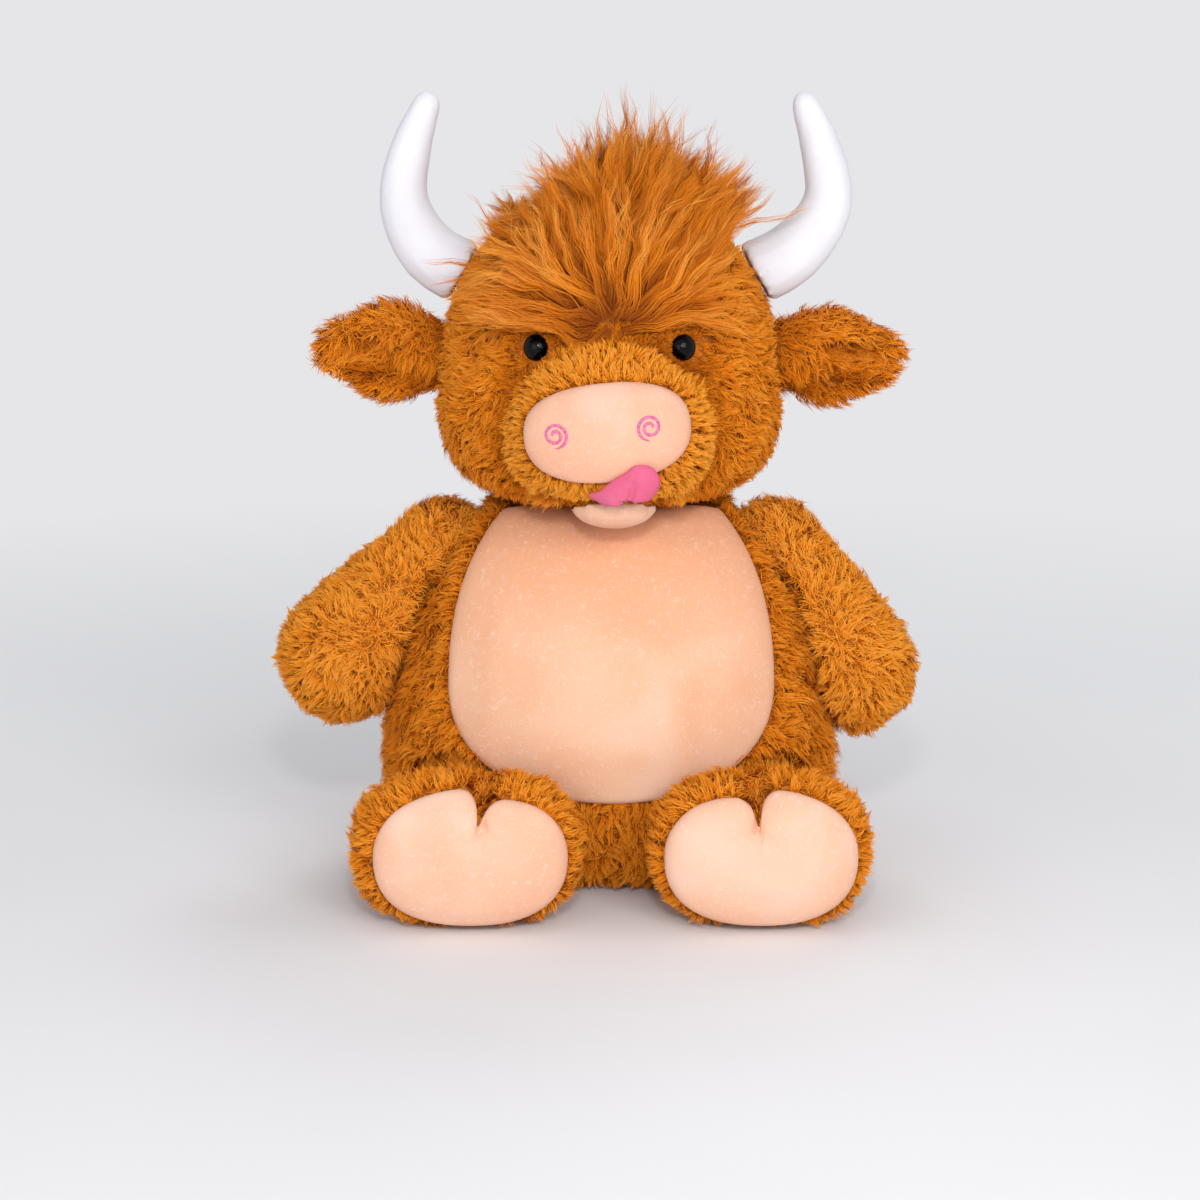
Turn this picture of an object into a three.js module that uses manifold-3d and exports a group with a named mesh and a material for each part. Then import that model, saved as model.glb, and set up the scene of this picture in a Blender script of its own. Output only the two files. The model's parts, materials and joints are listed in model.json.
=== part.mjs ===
// Seated stuffed toy cow with horns, as separate sewn pieces.
// Millimetres, +Z up. The origin is the middle of the flat seat, and the toy faces -Y.
import * as THREE from 'three';
import { mergeVertices } from 'three/addons/utils/BufferGeometryUtils.js';
import Module from 'manifold-3d';

const wasm = await Module();
wasm.setup();

// Driving dimensions

// gap left at every seam, where one piece is cut to seat on another
const seamGap = 0.35;
// gap between the head's flat underside and the body's flat top
const neckGap = 0.4;

// Body: oval sections from the seat up. Each gives shares of the body's own sizes,
// and its height is a share of the way from the seat to the neck.
const body = {
  height: 187.5,
  halfWidth: 113,
  front: 86,
  back: 106,
  squareness: 2.3,
  sections: [
    { height: 0, halfWidth: 0.761, front: 0.674, back: 0.774 },
    { height: 0.085, halfWidth: 0.912, front: 0.802, back: 0.915 },
    { height: 0.267, halfWidth: 1, front: 0.93, back: 1 },
    { height: 0.523, halfWidth: 0.947, front: 1, back: 0.962 },
    { height: 0.747, halfWidth: 0.832, front: 0.895, back: 0.83 },
    { height: 0.917, halfWidth: 0.699, front: 0.698, back: 0.642 },
    { height: 1, halfWidth: 0.549, front: 0.512, back: 0.472 },
  ],
};

// Belly panel: an egg-shaped outline seen from the front, let into the body
const belly = {
  aside: 1,
  height: 108,
  halfWidth: 80.5,
  up: 100,
  down: 57,
  upRound: 2.2,
  downRound: 2.15,
  thickness: 3,
};

// Bag of pellets in the seat, with the closing seam of the base under it
const pelletBag = {
  halfWidth: 58,
  front: 26,
  back: 30,
  halfHeight: 11,
  fromBack: 56,
  fromSeat: 20,
  squareness: 2.2,
};
const closingSeam = { length: 74, width: 1.2 };

// Head: widest at the cheeks, cut flat where it sits on the neck
const head = {
  halfWidth: 86,
  front: 75,
  back: 74,
  cheekHeight: 52,
  neckCut: 4,
  crown: 98,
  squareness: 2.3,
  crownRound: 2.2,
  chinRound: 3,
};

// Muzzle: a cushion that stands out of the face, narrower towards its top
const muzzle = {
  height: 40,
  halfWidth: 51.5,
  up: 49,
  down: 34,
  standOut: 35,
  rootDepth: 12,
  behind: 22,
  squareness: 2.4,
  upRound: 2.05,
  downRound: 2.4,
};

// Nose pad: an oval cushion let into the front of the muzzle, a little proud of it
const nosePad = {
  aside: -1.2,
  height: 47.6,
  halfWidth: 40,
  halfHeight: 23,
  round: 2.3,
  tilt: 5.5,
  proud: 2.2,
  sunk: 2.4,
};

const lowerLip = {
  height: 8.6,
  aside: 2,
  halfWidth: 22,
  up: 8,
  down: 9,
  forward: 24,
  behind: 19,
  standOff: 12,
  round: 2.2,
};

// Tongue: out of the mouth and up over the nose pad's lower edge
const tongue = {
  root: { x: -8.5, height: 17 },
  bend: { x: 2, height: 21 },
  tip: { x: 14.8, height: 26.4 },
  rootInset: 4,
  lift: 5.4,
  halfThickness: 3,
  rootDome: 0.5,
  rootHalfWidth: 3.6,
  midHalfWidth: 6,
  tipHalfWidth: 9,
};

// Safety eyes: a dome on a stem, locked by a washer inside the head
const eye = {
  apart: 34.5,
  height: 82,
  radius: 6.2,
  dome: 4.6,
  rim: 1,
  stemRadius: 1.8,
  stemLength: 14,
  washerRadius: 8,
  washerThickness: 2,
  fabric: 6,
  domeSteps: 4,
  holeReach: 45,
};

// Horns: a curve from the side of the crown, given as steps out and up from the root
const horn = {
  belowCrown: 43,
  fromMiddle: 6,
  sink: 7,
  elbow: { out: 14, up: 12 },
  outermost: { out: 28, up: 36 },
  upper: { out: 24.5, up: 62 },
  tip: { out: 16.5, up: 83.5 },
  rootDome: 0.3,
  rootRadius: 16.5,
  elbowRadius: 15.6,
  outermostRadius: 12.6,
  upperRadius: 10.5,
  tipRadius: 7.3,
  leftSpread: -2,
  rightSpread: 4.5,
};

// Forelock: a patch of long hair over the crown, with fringe locks and a standing tuft.
// Its heights are measured from the horn roots.
const forelock = {
  overCrown: 11,
  overBrow: 6,
  halfWidth: 61,
  reachBack: 32,
  brow: -9,
  round: 2.2,
};
const fringe = {
  perSide: 5,
  middleRoot: 5,
  outerRoot: 30,
  root: 2,
  middleTip: 24,
  outerTip: 66,
  tip: -20,
  outerRise: 14,
  bend: { aside: 0.6, down: 0.3 },
  longer: 3,
  lift: 6,
  rootRadius: 10,
  tipRadius: 1.5,
};
const tuft = {
  aside: 16,
  front: { count: 5, rootSpan: 44, tipSpan: 84, tip: 78, lean: -22, curl: 8 },
  rear: { count: 4, rootSpan: 50, tipSpan: 94, tip: 68, lean: 6, curl: 12 },
  root: 28,
  bend: 0.6,
  droop: 22,
  rootRadius: 15,
  tipRadius: 1.6,
};

// Each lock is flattened and narrows to its tip
const lockShape = { middleRadius: 0.75, flatness: 0.6, sides: 6, rows: 4, domeRows: 2 };

// Ears: a folded leaf on a round root that sits in the side of the head
const ear = {
  height: 70,
  fromMiddle: 4,
  standOff: 3,
  rootRadius: 18,
  innerRadius: 19,
  middleRadius: 25,
  outerRadius: 25,
  tipRadius: 17,
  leafLength: 41,
  rootDome: 0.4,
  flatness: 0.56,
  foldDepth: 14,
  foldHalfHeight: 8,
  foldHalfLength: 25,
  foldAlong: 31,
  foldDrop: 2,
  foldRound: 2.3,
  leftDroop: -3,
  rightDroop: 3,
};

// Arms: hang from a round root at the shoulder and rest against the body's side
const arm = {
  belowNeck: 24.5,
  fromMiddle: 2,
  inset: 3,
  rootRadius: 26,
  length: 72,
  elbowForward: 3.6,
  handForward: 9,
  shoulderRadius: 25,
  elbowRadius: 31.5,
  leftHandRadius: 37,
  rightHandRadius: 35,
  leftSpread: 42,
  rightSpread: 32,
};

// Legs: a round root at the hip, a short thigh and a wide foot with a cloven top
const leg = {
  apart: 65,
  hipHeight: 40,
  inset: 19,
  rootRadius: 34,
  thighRadius: 28,
  thighEnd: 0.2,
};
const foot = {
  forward: 53,
  centreHeight: 38,
  leftSpread: 2.5,
  rightSpread: 6,
  leftHalfWidth: 57,
  rightHalfWidth: 54.5,
  up: 39,
  down: 41,
  thickFront: 26,
  thickBack: 20,
  round: 2.6,
};
const sole = {
  leftAside: 2.5,
  rightAside: 0,
  halfWidth: 47,
  top: 72,
  bottom: 1.5,
  round: 2.4,
  thickness: 3,
  wrap: 19.5,
};
const cleft = {
  leftAside: 5.6,
  rightAside: 2.5,
  bottomHeight: 55,
  topWidth: 13,
  bottomWidth: 2,
  depth: 30,
  soleMargin: 2.5,
};

// Tail: hangs behind from a round root, with a tuft on its end
const tail = {
  height: 96,
  rootRadius: 9,
  neckRadius: 4,
  radius: 6,
  endRadius: 5.1,
  endDome: 1.2,
  standOff: 12,
  bendDrop: 16.2,
  length: 54,
};
const tailTuft = {
  topRadius: 6,
  topDome: 0.3,
  radius: 10,
  widest: 17,
  tipDrop: 29,
  tipRadius: 3,
};

// Number of faces round and along the forms
const fineSides = 24;
const fineRows = 12;
const footSides = 20;
const footRows = 10;
const coarseSides = 14;
const coarseRows = 8;
const ballSides = 16;
const outlinePoints = 26;
const farAway = 400;
// how far a cutting shape runs past the face that it cuts
const overrun = 1;

// Materials

const furBrown = { color: 0xbf7a2a, roughness: 0.95, metalness: 0 };
const peachPlush = { color: 0xf3c7a3, roughness: 0.9, metalness: 0 };
const whitePlush = { color: 0xf1eff0, roughness: 0.9, metalness: 0 };
const pinkPlush = { color: 0xdc6aa2, roughness: 0.85, metalness: 0 };
const blackGloss = { color: 0x0b0a0a, roughness: 0.12, metalness: 0 };
const whitePlastic = { color: 0xe4e2dc, roughness: 0.5, metalness: 0 };
const bagCotton = { color: 0xe9e3d6, roughness: 0.9, metalness: 0 };

// Solids: closed surfaces that can be joined and cut

function toSolid(geometry) {
  const bare = geometry.clone();
  bare.deleteAttribute('normal');
  bare.deleteAttribute('uv');
  const merged = mergeVertices(bare, 1e-4);
  const vertProperties = merged.attributes.position.array;
  const triVerts = new Uint32Array(merged.index.array);
  return new wasm.Manifold(new wasm.Mesh({ numProp: 3, vertProperties, triVerts }));
}

function toGeometry(solid) {
  const mesh = solid.getMesh();
  const geometry = new THREE.BufferGeometry();
  geometry.setAttribute('position', new THREE.BufferAttribute(mesh.vertProperties, mesh.numProp));
  geometry.setIndex(new THREE.BufferAttribute(mesh.triVerts, 1));
  geometry.computeVertexNormals();
  return geometry;
}

function cut(geometry, ...cutters) {
  const rest = cutters.reduce((solid, cutter) => solid.subtract(toSolid(cutter)), toSolid(geometry));
  return toGeometry(rest);
}

function keepInside(geometry, ...bounds) {
  const rest = bounds.reduce((solid, bound) => solid.intersect(toSolid(bound)), toSolid(geometry));
  return toGeometry(rest);
}

// The largest body of a shape, without the crumbs that a cut leaves beside it
function mainBody(geometry) {
  const bodies = toSolid(geometry).decompose();
  return toGeometry(bodies.sort((a, b) => b.volume() - a.volume())[0]);
}

function join(...geometries) {
  const [first, ...others] = geometries.map(toSolid);
  return toGeometry(others.reduce((solid, other) => solid.add(other), first));
}

function box(lowX, lowY, lowZ, highX, highY, highZ) {
  const geometry = new THREE.BoxGeometry(highX - lowX, highY - lowY, highZ - lowZ);
  geometry.translate((lowX + highX) / 2, (lowY + highY) / 2, (lowZ + highZ) / 2);
  return geometry;
}

// A ball root, with its poles on the axis that its piece turns about
function ball(radius, axis) {
  const geometry = new THREE.SphereGeometry(radius, ballSides, ballSides / 2);
  return axis === 'z' ? geometry.rotateX(Math.PI / 2) : geometry;
}

// The seat of a ball root, so wide that its flats clear the ball's corners at every angle
function socket(radius, axis, group) {
  const clear = (radius + seamGap) / Math.cos(Math.PI / ballSides);
  return moved(ball(clear, axis), ...group.position.toArray());
}

function moved(geometry, x, y, z) {
  return geometry.clone().translate(x, y, z);
}

// Puts a shape that is drawn in the toy's frame into the frame of a placed group.
function intoGroup(geometry, group) {
  group.updateWorldMatrix(true, false);
  return geometry.clone().applyMatrix4(group.matrixWorld.clone().invert());
}

// Rounded forms: ovals stacked along Z, with their own front and back depth

function superPower(value, round) {
  return Math.sign(value) * Math.abs(value) ** (2 / round);
}

function domeShare(reach, round) {
  return (1 - Math.min(1, Math.abs(reach)) ** round) ** (1 / round);
}

function ovalRing(section, squareness, sides, z) {
  return Array.from({ length: sides }, (_, i) => {
    const angle = (i / sides) * Math.PI * 2;
    const across = superPower(Math.cos(angle), squareness) * section.halfWidth;
    const depth = Math.sin(angle) < 0 ? section.front : section.back;
    return new THREE.Vector3(across, superPower(Math.sin(angle), squareness) * depth, z);
  });
}

// Closes a stack of rings into one surface, with a middle point on each end.
function skin(rings, startPoint, endPoint) {
  const sides = rings[0].length;
  const points = [...rings.flat(), startPoint, endPoint];
  const start = points.length - 2;
  const end = points.length - 1;
  const last = (rings.length - 1) * sides;
  const faces = [];
  for (let i = 0; i < sides; i += 1) {
    const next = (i + 1) % sides;
    faces.push(start, next, i);
    faces.push(end, last + i, last + next);
    for (let row = 0; row < last; row += sides) {
      faces.push(row + i, row + next, row + sides + i);
      faces.push(row + next, row + sides + next, row + sides + i);
    }
  }
  const geometry = new THREE.BufferGeometry().setFromPoints(points);
  geometry.setIndex(faces);
  return geometry;
}

// An egg: its own reach and roundness above and below the widest level.
function eggForm(size, grow = 0) {
  const up = size.up + grow;
  const down = size.down + grow;
  const section = (z) => {
    const share = z < 0 ? domeShare(z / down, size.downRound) : domeShare(z / up, size.upRound);
    return {
      halfWidth: (size.halfWidth + grow) * share,
      front: (size.front + grow) * share,
      back: (size.back + grow) * share,
    };
  };
  return { section, squareness: size.squareness, up, down };
}

function eggGeometry(form, sides = fineSides, rows = fineRows) {
  const levels = Array.from({ length: rows - 1 }, (_, i) => {
    const lift = Math.sin(((i + 1) / rows - 0.5) * Math.PI);
    return lift < 0 ? lift * form.down : lift * form.up;
  });
  const rings = levels.map((z) => ovalRing(form.section(z), form.squareness, sides, z));
  const bottom = new THREE.Vector3(0, 0, -form.down);
  return skin(rings, bottom, new THREE.Vector3(0, 0, form.up));
}

// A form whose sections are given one above the other, flat at both ends.
function stackForm(size, grow = 0) {
  const heights = size.sections.map((share) => share.height * size.height);
  const values = size.sections.flatMap((share) => [
    share.halfWidth * size.halfWidth + grow,
    share.front * size.front + grow,
    share.back * size.back + grow,
  ]);
  const curve = new THREE.CubicInterpolant(heights, values, 3);
  const section = (z) => {
    const [halfWidth, front, back] = curve.evaluate(z);
    return { halfWidth, front, back };
  };
  return { section, squareness: size.squareness, bottom: 0, top: heights.at(-1) };
}

function stackGeometry(form, extra = 0, rows = fineRows) {
  const rings = Array.from({ length: rows + 1 }, (_, i) => {
    const z = form.bottom + (i / rows) * (form.top - form.bottom);
    const level = i === 0 ? z - extra : z + (i === rows ? extra : 0);
    return ovalRing(form.section(z), form.squareness, fineSides, level);
  });
  const bottom = new THREE.Vector3(0, 0, form.bottom - extra);
  return skin(rings, bottom, new THREE.Vector3(0, 0, form.top + extra));
}

// Where a form's front lies at a place across and a height, and its side at a depth and a height
function frontOf(form, x, z) {
  const section = form.section(z);
  return -section.front * domeShare(x / section.halfWidth, form.squareness);
}

function backOf(form, x, z) {
  const section = form.section(z);
  return section.back * domeShare(x / section.halfWidth, form.squareness);
}

function sideOf(form, y, z) {
  const section = form.section(z);
  const depth = y < 0 ? section.front : section.back;
  return section.halfWidth * domeShare(y / depth, form.squareness);
}

// A slab seen from the front, with an oval outline, from one depth to another
function frontSlab(outline, fromY, toY, grow = 0) {
  const points = Array.from({ length: outlinePoints }, (_, i) => {
    const angle = (i / outlinePoints) * Math.PI * 2;
    const rising = Math.sin(angle) > 0;
    const round = rising ? outline.upRound : outline.downRound;
    const reach = (rising ? outline.up : outline.down) + grow;
    const across = (outline.halfWidth + grow) * superPower(Math.cos(angle), round);
    return new THREE.Vector2(across, reach * superPower(Math.sin(angle), round));
  });
  return extrudedBack(points, fromY, toY);
}

function extrudedBack(points, fromY, toY) {
  const shape = new THREE.Shape(points);
  const geometry = new THREE.ExtrudeGeometry(shape, { depth: toY - fromY, bevelEnabled: false });
  geometry.rotateX(Math.PI / 2);
  geometry.translate(0, toY, 0);
  return geometry;
}

// A tapering stuffed tube along a curve, domed at both ends. Its section may be flattened.
function limbGeometry(points, radii, options = {}) {
  const { sides = 12, rows = 6, domeRows = 4, startDome = 1, endDome = 1, flat = 1 } = options;
  const curve = new THREE.CatmullRomCurve3(points);
  const spacing = radii.map((_, i) => i / (radii.length - 1));
  const radiusAt = new THREE.CubicInterpolant(spacing, radii, 1);
  const across = options.across ?? new THREE.Vector3(0, 1, 0);
  const ringAt = (t, radius, shift) => {
    const along = curve.getTangent(t);
    const middle = curve.getPoint(t).addScaledVector(along, shift);
    const second = new THREE.Vector3().crossVectors(along, across).normalize();
    const first = new THREE.Vector3().crossVectors(second, along).normalize();
    return Array.from({ length: sides }, (_, i) => {
      const angle = (i / sides) * Math.PI * 2;
      const point = middle.clone().addScaledVector(first, Math.cos(angle) * radius * flat);
      return point.addScaledVector(second, Math.sin(angle) * radius);
    });
  };
  const rings = [];
  for (let i = 1; i < domeRows; i += 1) {
    const turn = (i / domeRows) * (Math.PI / 2);
    rings.push(ringAt(0, radii[0] * Math.sin(turn), -radii[0] * Math.cos(turn) * startDome));
  }
  for (let i = 0; i <= rows; i += 1) {
    rings.push(ringAt(i / rows, radiusAt.evaluate(i / rows)[0], 0));
  }
  const endRadius = radii.at(-1);
  for (let i = domeRows - 1; i > 0; i -= 1) {
    const turn = (i / domeRows) * (Math.PI / 2);
    rings.push(ringAt(1, endRadius * Math.sin(turn), endRadius * Math.cos(turn) * endDome));
  }
  const start = curve.getPoint(0).addScaledVector(curve.getTangent(0), -radii[0] * startDome);
  const end = curve.getPoint(1).addScaledVector(curve.getTangent(1), endRadius * endDome);
  return skin(rings, start, end);
}

// Meshes

const toy = new THREE.Group();

function addPiece(group, name, geometry, finish, x = 0, y = 0, z = 0) {
  const mesh = new THREE.Mesh(geometry.translate(-x, -y, -z), new THREE.MeshStandardMaterial(finish));
  mesh.name = name;
  mesh.position.set(x, y, z);
  group.add(mesh);
  return mesh;
}

function addGroup(parent, x, y, z, turnX = 0, turnY = 0, turnZ = 0) {
  const group = new THREE.Group();
  group.position.set(x, y, z);
  group.rotation.set(turnX, turnY, turnZ);
  parent.add(group);
  return group;
}

const sides = [
  { name: 'left', sign: -1 },
  { name: 'right', sign: 1 },
];

// Shared forms of the body and the head, which the smaller pieces are seated on

const bodyForm = stackForm(body);
const neckHeight = bodyForm.top;
const bodyCutter = stackGeometry(stackForm(body, seamGap), seamGap);

const headSize = {
  ...head,
  up: head.crown,
  down: head.cheekHeight + head.neckCut,
  upRound: head.crownRound,
  downRound: head.chinRound,
};
const headForm = eggForm(headSize);
const hornHeight = head.cheekHeight + head.crown - horn.belowCrown;
const shoulderHeight = neckHeight - arm.belowNeck;

function headEgg(grow) {
  return moved(eggGeometry(eggForm(headSize, grow)), 0, 0, head.cheekHeight);
}
const headCutter = headEgg(seamGap);

// Heights on the head are measured up from the neck seam.
function headFront(x, height) {
  return frontOf(headForm, x, height - head.cheekHeight);
}

function headSide(y, height) {
  return sideOf(headForm, y, height - head.cheekHeight);
}

// Groups at the seams about which the pieces turn

const headGroup = addGroup(toy, 0, 0, neckHeight + neckGap);

const degrees = Math.PI / 180;
const shoulderOut = sideOf(bodyForm, arm.fromMiddle, shoulderHeight) - arm.inset;
const hipForward = frontOf(bodyForm, leg.apart, leg.hipHeight) + leg.inset;
const earOut = headSide(ear.fromMiddle, ear.height) + ear.standOff;
const tailBack = backOf(bodyForm, 0, tail.height);

const armGroups = sides.map(({ name, sign }) => {
  const spread = name === 'left' ? arm.leftSpread : arm.rightSpread;
  const turn = -sign * spread * degrees;
  return addGroup(toy, sign * shoulderOut, arm.fromMiddle, shoulderHeight, 0, turn, 0);
});
const legGroups = sides.map(({ sign }) => addGroup(toy, sign * leg.apart, hipForward, leg.hipHeight));
const earGroups = sides.map(({ name, sign }) => {
  const droop = name === 'left' ? ear.leftDroop : ear.rightDroop;
  return addGroup(headGroup, sign * earOut, ear.fromMiddle, ear.height, 0, sign * droop * degrees, 0);
});
const tailGroup = addGroup(toy, 0, tailBack, tail.height);

// Body with its belly panel and the pellet bag in the seat

function bellySlab(grow) {
  const outline = {
    halfWidth: belly.halfWidth,
    up: belly.up,
    down: belly.down,
    upRound: belly.upRound,
    downRound: belly.downRound,
  };
  return moved(frontSlab(outline, -farAway, 0, grow), belly.aside, 0, belly.height);
}

function addBody() {
  const pelletSize = {
    ...pelletBag,
    up: pelletBag.halfHeight,
    down: pelletBag.halfHeight,
    upRound: pelletBag.squareness,
    downRound: pelletBag.squareness,
  };
  const bagPlace = [0, pelletBag.fromBack, pelletBag.fromSeat];
  const bag = moved(eggGeometry(eggForm(pelletSize), coarseSides, coarseRows), ...bagPlace);
  const pocket = moved(eggGeometry(eggForm(pelletSize, seamGap), coarseSides, coarseRows), ...bagPlace);
  const slitHalfLength = closingSeam.length / 2;
  const slitHalfWidth = closingSeam.width / 2;
  const slit = box(
    -slitHalfLength, pelletBag.fromBack - slitHalfWidth, -overrun,
    slitHalfLength, pelletBag.fromBack + slitHalfWidth, pelletBag.fromSeat,
  );
  const panelBack = stackGeometry(stackForm(body, -belly.thickness), overrun);
  const recessBack = stackGeometry(stackForm(body, -belly.thickness - seamGap), overrun);
  const overBody = stackGeometry(stackForm(body, overrun), overrun);
  const recess = keepInside(cut(overBody, recessBack), bellySlab(seamGap));
  const panel = keepInside(cut(stackGeometry(bodyForm), panelBack), bellySlab(0));
  const sockets = [
    ...armGroups.map((group) => socket(arm.rootRadius, 'y', group)),
    ...legGroups.map((group) => socket(leg.rootRadius, 'z', group)),
    socket(tail.rootRadius, 'y', tailGroup),
  ];
  const torso = cut(stackGeometry(bodyForm), pocket, slit, recess, ...sockets);
  addPiece(toy, 'body', torso, furBrown);
  addPiece(toy, 'belly_panel', cut(panel, ...sockets), peachPlush, belly.aside, 0, belly.height);
  addPiece(toy, 'pellet_bag', bag, bagCotton, ...bagPlace);
}

// Eyes: a turned dome with its stem, and the washer that locks it

function eyeProfile() {
  const points = [new THREE.Vector2(0, -eye.stemLength)];
  points.push(new THREE.Vector2(eye.stemRadius, -eye.stemLength));
  points.push(new THREE.Vector2(eye.stemRadius, 0));
  points.push(new THREE.Vector2(eye.radius, 0));
  for (let i = 0; i <= eye.domeSteps; i += 1) {
    const turn = (i / eye.domeSteps) * (Math.PI / 2);
    const dome = eye.rim + (eye.dome - eye.rim) * Math.sin(turn);
    points.push(new THREE.Vector2(eye.radius * Math.cos(turn), dome));
  }
  points[points.length - 1].x = 0;
  return new THREE.LatheGeometry(points, coarseSides);
}

function washerProfile(grow) {
  const hole = eye.stemRadius + seamGap;
  const bottom = -eye.fabric - eye.washerThickness - grow;
  const points = [
    new THREE.Vector2(hole, bottom),
    new THREE.Vector2(eye.washerRadius + grow, bottom),
    new THREE.Vector2(eye.washerRadius + grow, -eye.fabric + grow),
    new THREE.Vector2(hole, -eye.fabric + grow),
    new THREE.Vector2(hole, bottom),
  ];
  return new THREE.LatheGeometry(points, coarseSides);
}

function eyeCutter() {
  const end = -eye.stemLength - seamGap;
  const washerBottom = -eye.fabric - eye.washerThickness - seamGap;
  const points = [
    new THREE.Vector2(0, end),
    new THREE.Vector2(eye.stemRadius + seamGap, end),
    new THREE.Vector2(eye.stemRadius + seamGap, washerBottom),
    new THREE.Vector2(eye.washerRadius + seamGap, washerBottom),
    new THREE.Vector2(eye.washerRadius + seamGap, -eye.fabric + seamGap),
    new THREE.Vector2(eye.stemRadius + seamGap, -eye.fabric + seamGap),
    new THREE.Vector2(eye.stemRadius + seamGap, -seamGap),
    new THREE.Vector2(eye.radius + seamGap, -seamGap),
    new THREE.Vector2(eye.radius + seamGap, eye.holeReach),
    new THREE.Vector2(0, eye.holeReach),
  ];
  return new THREE.LatheGeometry(points, coarseSides);
}

// Turns a shape drawn along +Y to look out of the face, and sets it on the face.
function onFace(geometry, sign) {
  const x = sign * eye.apart;
  const step = eye.radius;
  const across = (headFront(x + step, eye.height) - headFront(x - step, eye.height)) / (2 * step);
  const upward = (headFront(x, eye.height + step) - headFront(x, eye.height - step)) / (2 * step);
  const outward = new THREE.Vector3(across, -1, upward).normalize();
  const turn = new THREE.Quaternion().setFromUnitVectors(new THREE.Vector3(0, 1, 0), outward);
  const place = new THREE.Vector3(x, headFront(x, eye.height), eye.height);
  place.addScaledVector(outward, -eye.rim / 2);
  return geometry.applyMatrix4(new THREE.Matrix4().compose(place, turn, new THREE.Vector3(1, 1, 1)));
}

function addEyes() {
  sides.forEach(({ name, sign }) => {
    addPiece(headGroup, `eye_${name}`, onFace(eyeProfile(), sign), blackGloss);
    addPiece(headGroup, `eye_washer_${name}`, onFace(washerProfile(0), sign), whitePlastic);
  });
}

// Head, muzzle, nose pad, lip and tongue

const muzzleY = headFront(0, muzzle.height) + muzzle.rootDepth;
const muzzleSize = {
  ...muzzle,
  front: muzzle.standOut + muzzle.rootDepth,
  back: muzzle.behind,
};
const muzzleForm = eggForm(muzzleSize);

function muzzleEgg(grow) {
  return moved(eggGeometry(eggForm(muzzleSize, grow)), 0, muzzleY, muzzle.height);
}

function muzzleFront(x, height) {
  return muzzleY + frontOf(muzzleForm, x, height - muzzle.height);
}

function nosePadSlab(grow) {
  const outline = {
    halfWidth: nosePad.halfWidth,
    up: nosePad.halfHeight,
    down: nosePad.halfHeight,
    upRound: nosePad.round,
    downRound: nosePad.round,
  };
  const slab = frontSlab(outline, -farAway, muzzleY - muzzle.rootDepth, grow);
  slab.rotateY(-nosePad.tilt * degrees);
  return moved(slab, nosePad.aside, 0, nosePad.height);
}

function lipEgg(grow) {
  const size = {
    ...lowerLip,
    front: lowerLip.forward,
    back: lowerLip.behind,
    upRound: lowerLip.round,
    downRound: lowerLip.round,
    squareness: lowerLip.round,
  };
  const y = headFront(0, lowerLip.height) - lowerLip.standOff;
  return moved(eggGeometry(eggForm(size, grow), coarseSides, coarseRows), lowerLip.aside, y, lowerLip.height);
}

function addSnout() {
  const padForm = cut(muzzleEgg(nosePad.proud), muzzleEgg(-nosePad.sunk));
  const recessForm = cut(muzzleEgg(nosePad.proud + overrun), muzzleEgg(-nosePad.sunk - seamGap));
  const pad = keepInside(padForm, nosePadSlab(0));
  const recess = keepInside(recessForm, nosePadSlab(seamGap));
  const eyeHoles = sides.map(({ sign }) => onFace(eyeCutter(), sign));
  const snout = cut(muzzleEgg(0), headCutter, recess, ...eyeHoles);
  const lip = cut(lipEgg(0), headCutter, muzzleEgg(seamGap));
  addPiece(headGroup, 'muzzle', snout, furBrown, 0, muzzleY, muzzle.height);
  const padY = muzzleFront(nosePad.aside, nosePad.height);
  addPiece(headGroup, 'nose_pad', pad, peachPlush, nosePad.aside, padY, nosePad.height);
  addPiece(headGroup, 'lower_lip', lip, peachPlush);

  const overMuzzle = ({ x, height }, lift) => {
    return new THREE.Vector3(x, muzzleFront(x, height) - nosePad.proud - lift, height);
  };
  const root = overMuzzle(tongue.root, tongue.lift);
  root.y += tongue.rootInset;
  const path = [root, overMuzzle(tongue.bend, tongue.lift), overMuzzle(tongue.tip, tongue.lift)];
  const widths = [tongue.rootHalfWidth, tongue.midHalfWidth, tongue.tipHalfWidth];
  const licking = limbGeometry(path, widths, {
    flat: tongue.halfThickness / tongue.tipHalfWidth,
    across: new THREE.Vector3(0, 1, 0),
    startDome: tongue.rootDome,
    domeRows: 3,
    rows: 7,
  });
  const seated = cut(licking, muzzleEgg(seamGap), lipEgg(seamGap), cutPad());
  addPiece(headGroup, 'tongue', seated, pinkPlush);
}

function cutPad() {
  return keepInside(muzzleEgg(nosePad.proud + seamGap), nosePadSlab(seamGap));
}

function addHead() {
  const neckPlane = box(-farAway, -farAway, -farAway, farAway, farAway, 0);
  const earSockets = earGroups.map((group) => socket(ear.rootRadius, 'z', group));
  const eyeHoles = sides.map(({ sign }) => onFace(eyeCutter(), sign));
  const skull = cut(headEgg(0), neckPlane, ...earSockets, ...eyeHoles);
  addPiece(headGroup, 'head', skull, furBrown, 0, 0, head.cheekHeight);
}

// Horns

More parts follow.
